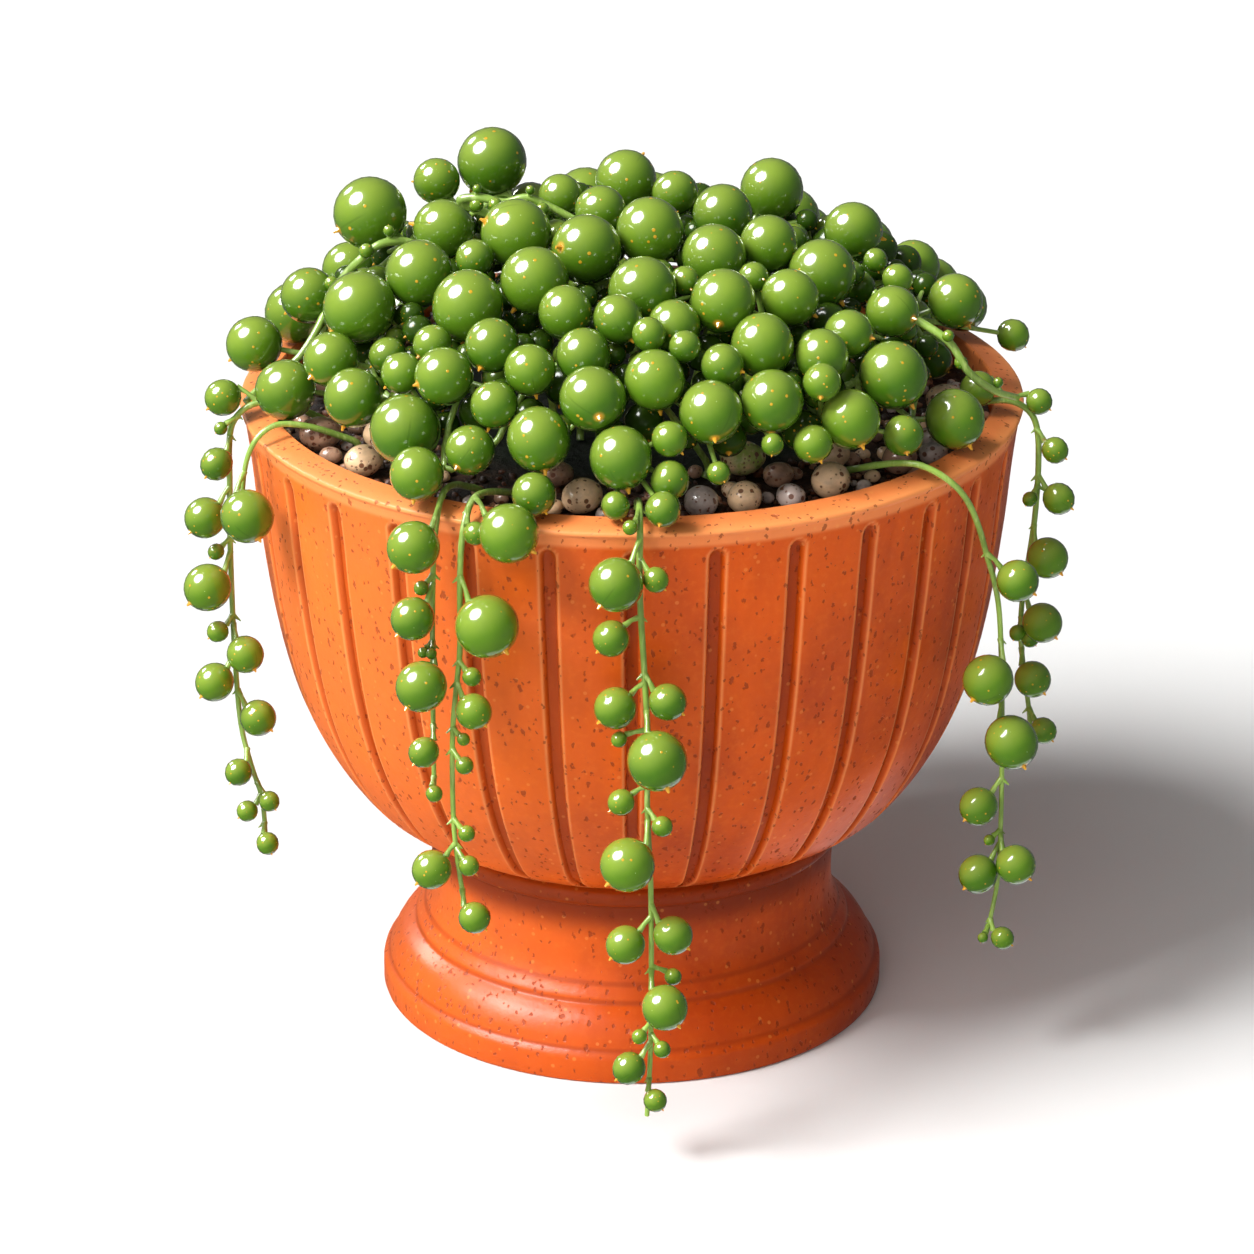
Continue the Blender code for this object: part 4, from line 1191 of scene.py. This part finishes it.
def loose_way(draw):
    return Vector((draw.uniform(-1, 1), draw.uniform(-1, 1), draw.uniform(-1, 1)))


def mound_tip(place, draw):
    """Which way a mound leaf's tip points: mostly outwards and down."""
    outwards = (place - mound_middle()).normalized()
    return (outwards * 0.75 + Vector((0, 0, -0.75)) + loose_way(draw) * 0.55).normalized()


class PEARLS_OT_mound(bpy.types.Operator):
    """Heap the mound of pearls on its creeping stems"""

    bl_idname = "pearls.mound"
    bl_label = "Mound"

    def execute(self, context):
        settings = context.scene.pearls_plant
        finishes = plant_finishes(settings)
        fixed = fixed_balls()
        settled = settle(mound_pearls(), fixed)
        gravel = [(centre, size / 2) for centre, size in gravel_places()]
        small = small_pearls(settled, fixed + gravel)
        hidden = hidden_leaves(fixed + gravel + settled + small, settings.fillers)
        strands = mound_strands(settled)
        extras = {name: [] for name, _, _, _ in strands}
        stems = {}
        for name, bearing, reach, members in strands:
            root = at(bearing, reach, soil_height(reach) + SEAT_GAP)
            knee = at(bearing, reach, root.z + 0.003)
            stems[name] = [root, knee, *(under(place) for place, _ in members)]
        # Hidden leaves deep in the mound take a darkness of 1, so that they are painted dark as painted shade.
        for painted_darkness, leaves in ((0.0, small), (1.0, hidden)):
            for place, radius in leaves:
                spots = [(spot, name) for name, stem in stems.items() for spot in stem[1:]]
                spot, name = min(spots, key=lambda found: (found[0] - place).length)
                extras[name].append((place, radius, spot, painted_darkness))
        for number, (name, _, _, members) in enumerate(strands):
            draw = random.Random(300 + number)
            shape = new_plant_shape()
            stalks = []
            leaves = [(place, radius * PLUMP, under(place), 0.0) for place, radius in members] + extras[name]
            for place, radius, spot, painted_darkness in leaves:
                add_leaf(shape, place, radius, mound_tip(place, draw), draw, painted_darkness)
                stalks.append([(spot, settings.stalk_radius * 1.4), (place, settings.stalk_radius)])
            fine = smooth_route(stems[name], 4)
            add_tubes(shape, [tapered(fine, STEM_RADIUS, STEM_RADIUS * 0.7), *stalks])
            note_painted_light_side(shape)
            place_piece(name.replace("mound_stem", "creeper"), shape, finishes, "pearl_green", [name])
        self.arch(settings, finishes)
        return {"FINISHED"}

    def arch(self, settings, finishes):
        """Stems that stand out of the mound, with a few small buds."""
        draw = random.Random(77)
        for number, points in enumerate(ARCHES, 1):
            shape = new_plant_shape()
            route = smooth_route([Vector((x * MM, y * MM, z / 100 * POT_HEIGHT)) for x, y, z in points], 6)
            stalks = []
            for step in range(4, len(route) - 4, 7):
                way = (loose_way(draw) + Vector((0, -0.4, 0.9))).normalized()
                radius = draw.uniform(0.7, 1.25) * MM
                spot = route[step] + way * (radius + 0.0008)
                add_leaf(shape, spot, radius, way, draw)
                stalks.append([(route[step], settings.stalk_radius * 1.3), (spot, settings.stalk_radius)])
            add_tubes(shape, [tapered(route, STEM_RADIUS * 1.15, STEM_RADIUS * 0.9), *stalks])
            note_painted_light_side(shape)
            place_piece(f"arching_stem_{number}", shape, finishes, "pearl_green")


# ---------------------------------------------------------------- stage
CAMERA_PLACE = (-0.00077, -0.80207, 0.3921)
CAMERA_TILT = 67.492  # degrees from straight down
# name, direction, angle in degrees, strength as a share of the key light's, kind of ray that sees it
LIGHTS = [
    ("key", (-0.58, -0.32, 0.75), 26, 1.0, "diffuse"),
    ("key_gloss", (-0.61, -0.17, 0.77), 39, 2.4, "glossy"),
    ("rim_gloss", (-0.63, 0.60, 0.48), 16, 0.35, "glossy"),
    ("low_gloss", (0.25, 0.35, -0.9), 50, 0.12, "glossy"),
    ("front", (-0.4, -0.8, 0.42), 60, 0.31, "diffuse"),
]


def add_sun(name, way, angle, strength, seen_by):
    """A broad, even light from a direction, that only the named kind of ray sees."""
    light = bpy.data.lights.new(name, "SUN")
    light.energy = strength
    light.angle = math.radians(angle)
    holder = in_scene(name, light)
    holder.rotation_euler = Vector(way).to_track_quat("Z", "Y").to_euler()
    holder.visible_diffuse = seen_by == "diffuse"
    holder.visible_glossy = seen_by == "glossy"


class PEARLS_OT_stage(bpy.types.Operator):
    """Set the floor, the lights and the camera"""

    bl_idname = "pearls.stage"
    bl_label = "Stage"

    def execute(self, context):
        settings = context.scene.pearls_stage
        shape = bmesh.new()
        bmesh.ops.create_grid(shape, x_segments=1, y_segments=1, size=3)
        mesh = as_mesh("floor", shape)
        mesh.materials.append(floor_finish(settings))
        floor = in_scene("floor", mesh)
        floor.visible_glossy = False
        for name, way, angle, share, seen_by in LIGHTS:
            add_sun(name, way, angle, settings.key * share, seen_by)
        self.surround(context.scene, settings.fill)
        self.camera(context.scene, settings.lens)
        context.scene.view_settings.view_transform = "Standard"
        return {"FINISHED"}

    def surround(self, scene, strength):
        world = bpy.data.worlds.new("studio")
        scene.world = world
        world.use_nodes = True
        back = world.node_tree.nodes["Background"]
        back.inputs["Color"].default_value = (1, 1, 1, 1)
        back.inputs["Strength"].default_value = strength

    def camera(self, scene, lens):
        camera = bpy.data.cameras.new("camera")
        camera.lens = lens
        camera.sensor_width = 36
        camera.clip_start = 0.01
        holder = in_scene("camera", camera)
        holder.location = CAMERA_PLACE
        holder.rotation_euler = (math.radians(CAMERA_TILT), 0, 0)
        scene.camera = holder


# ---------------------------------------------------------------- panel and registration
class PEARLS_PT_panel(bpy.types.Panel):
    bl_label = "String of pearls"
    bl_idname = "PEARLS_PT_panel"
    bl_space_type = "VIEW_3D"
    bl_region_type = "UI"
    bl_category = "Pearls"

    def draw(self, context):
        for group in SETTINGS:
            box = self.layout.box()
            holder = getattr(context.scene, group)
            for name in holder.__annotations__:
                box.prop(holder, name)
        for operator in OPERATORS:
            self.layout.operator(operator.bl_idname)


SETTINGS = {
    "pearls_pot": PearlsPotSettings,
    "pearls_soil": PearlsSoilSettings,
    "pearls_plant": PearlsPlantSettings,
    "pearls_stage": PearlsStageSettings,
}
OPERATORS = (PEARLS_OT_pot, PEARLS_OT_soil, PEARLS_OT_pebbles, PEARLS_OT_trailing, PEARLS_OT_mound,
             PEARLS_OT_stage)


def register():
    for made in (*SETTINGS.values(), *OPERATORS, PEARLS_PT_panel):
        bpy.utils.register_class(made)
    for name, group in SETTINGS.items():
        setattr(bpy.types.Scene, name, PointerProperty(type=group))


def unregister():
    for name in SETTINGS:
        delattr(bpy.types.Scene, name)
    for made in (PEARLS_PT_panel, *reversed(OPERATORS), *SETTINGS.values()):
        bpy.utils.unregister_class(made)


def main():
    register()
    bpy.ops.pearls.pot()
    bpy.ops.pearls.soil()
    bpy.ops.pearls.pebbles()
    bpy.ops.pearls.trailing()
    bpy.ops.pearls.mound()
    bpy.ops.pearls.stage()


if __name__ == "__main__":
    main()
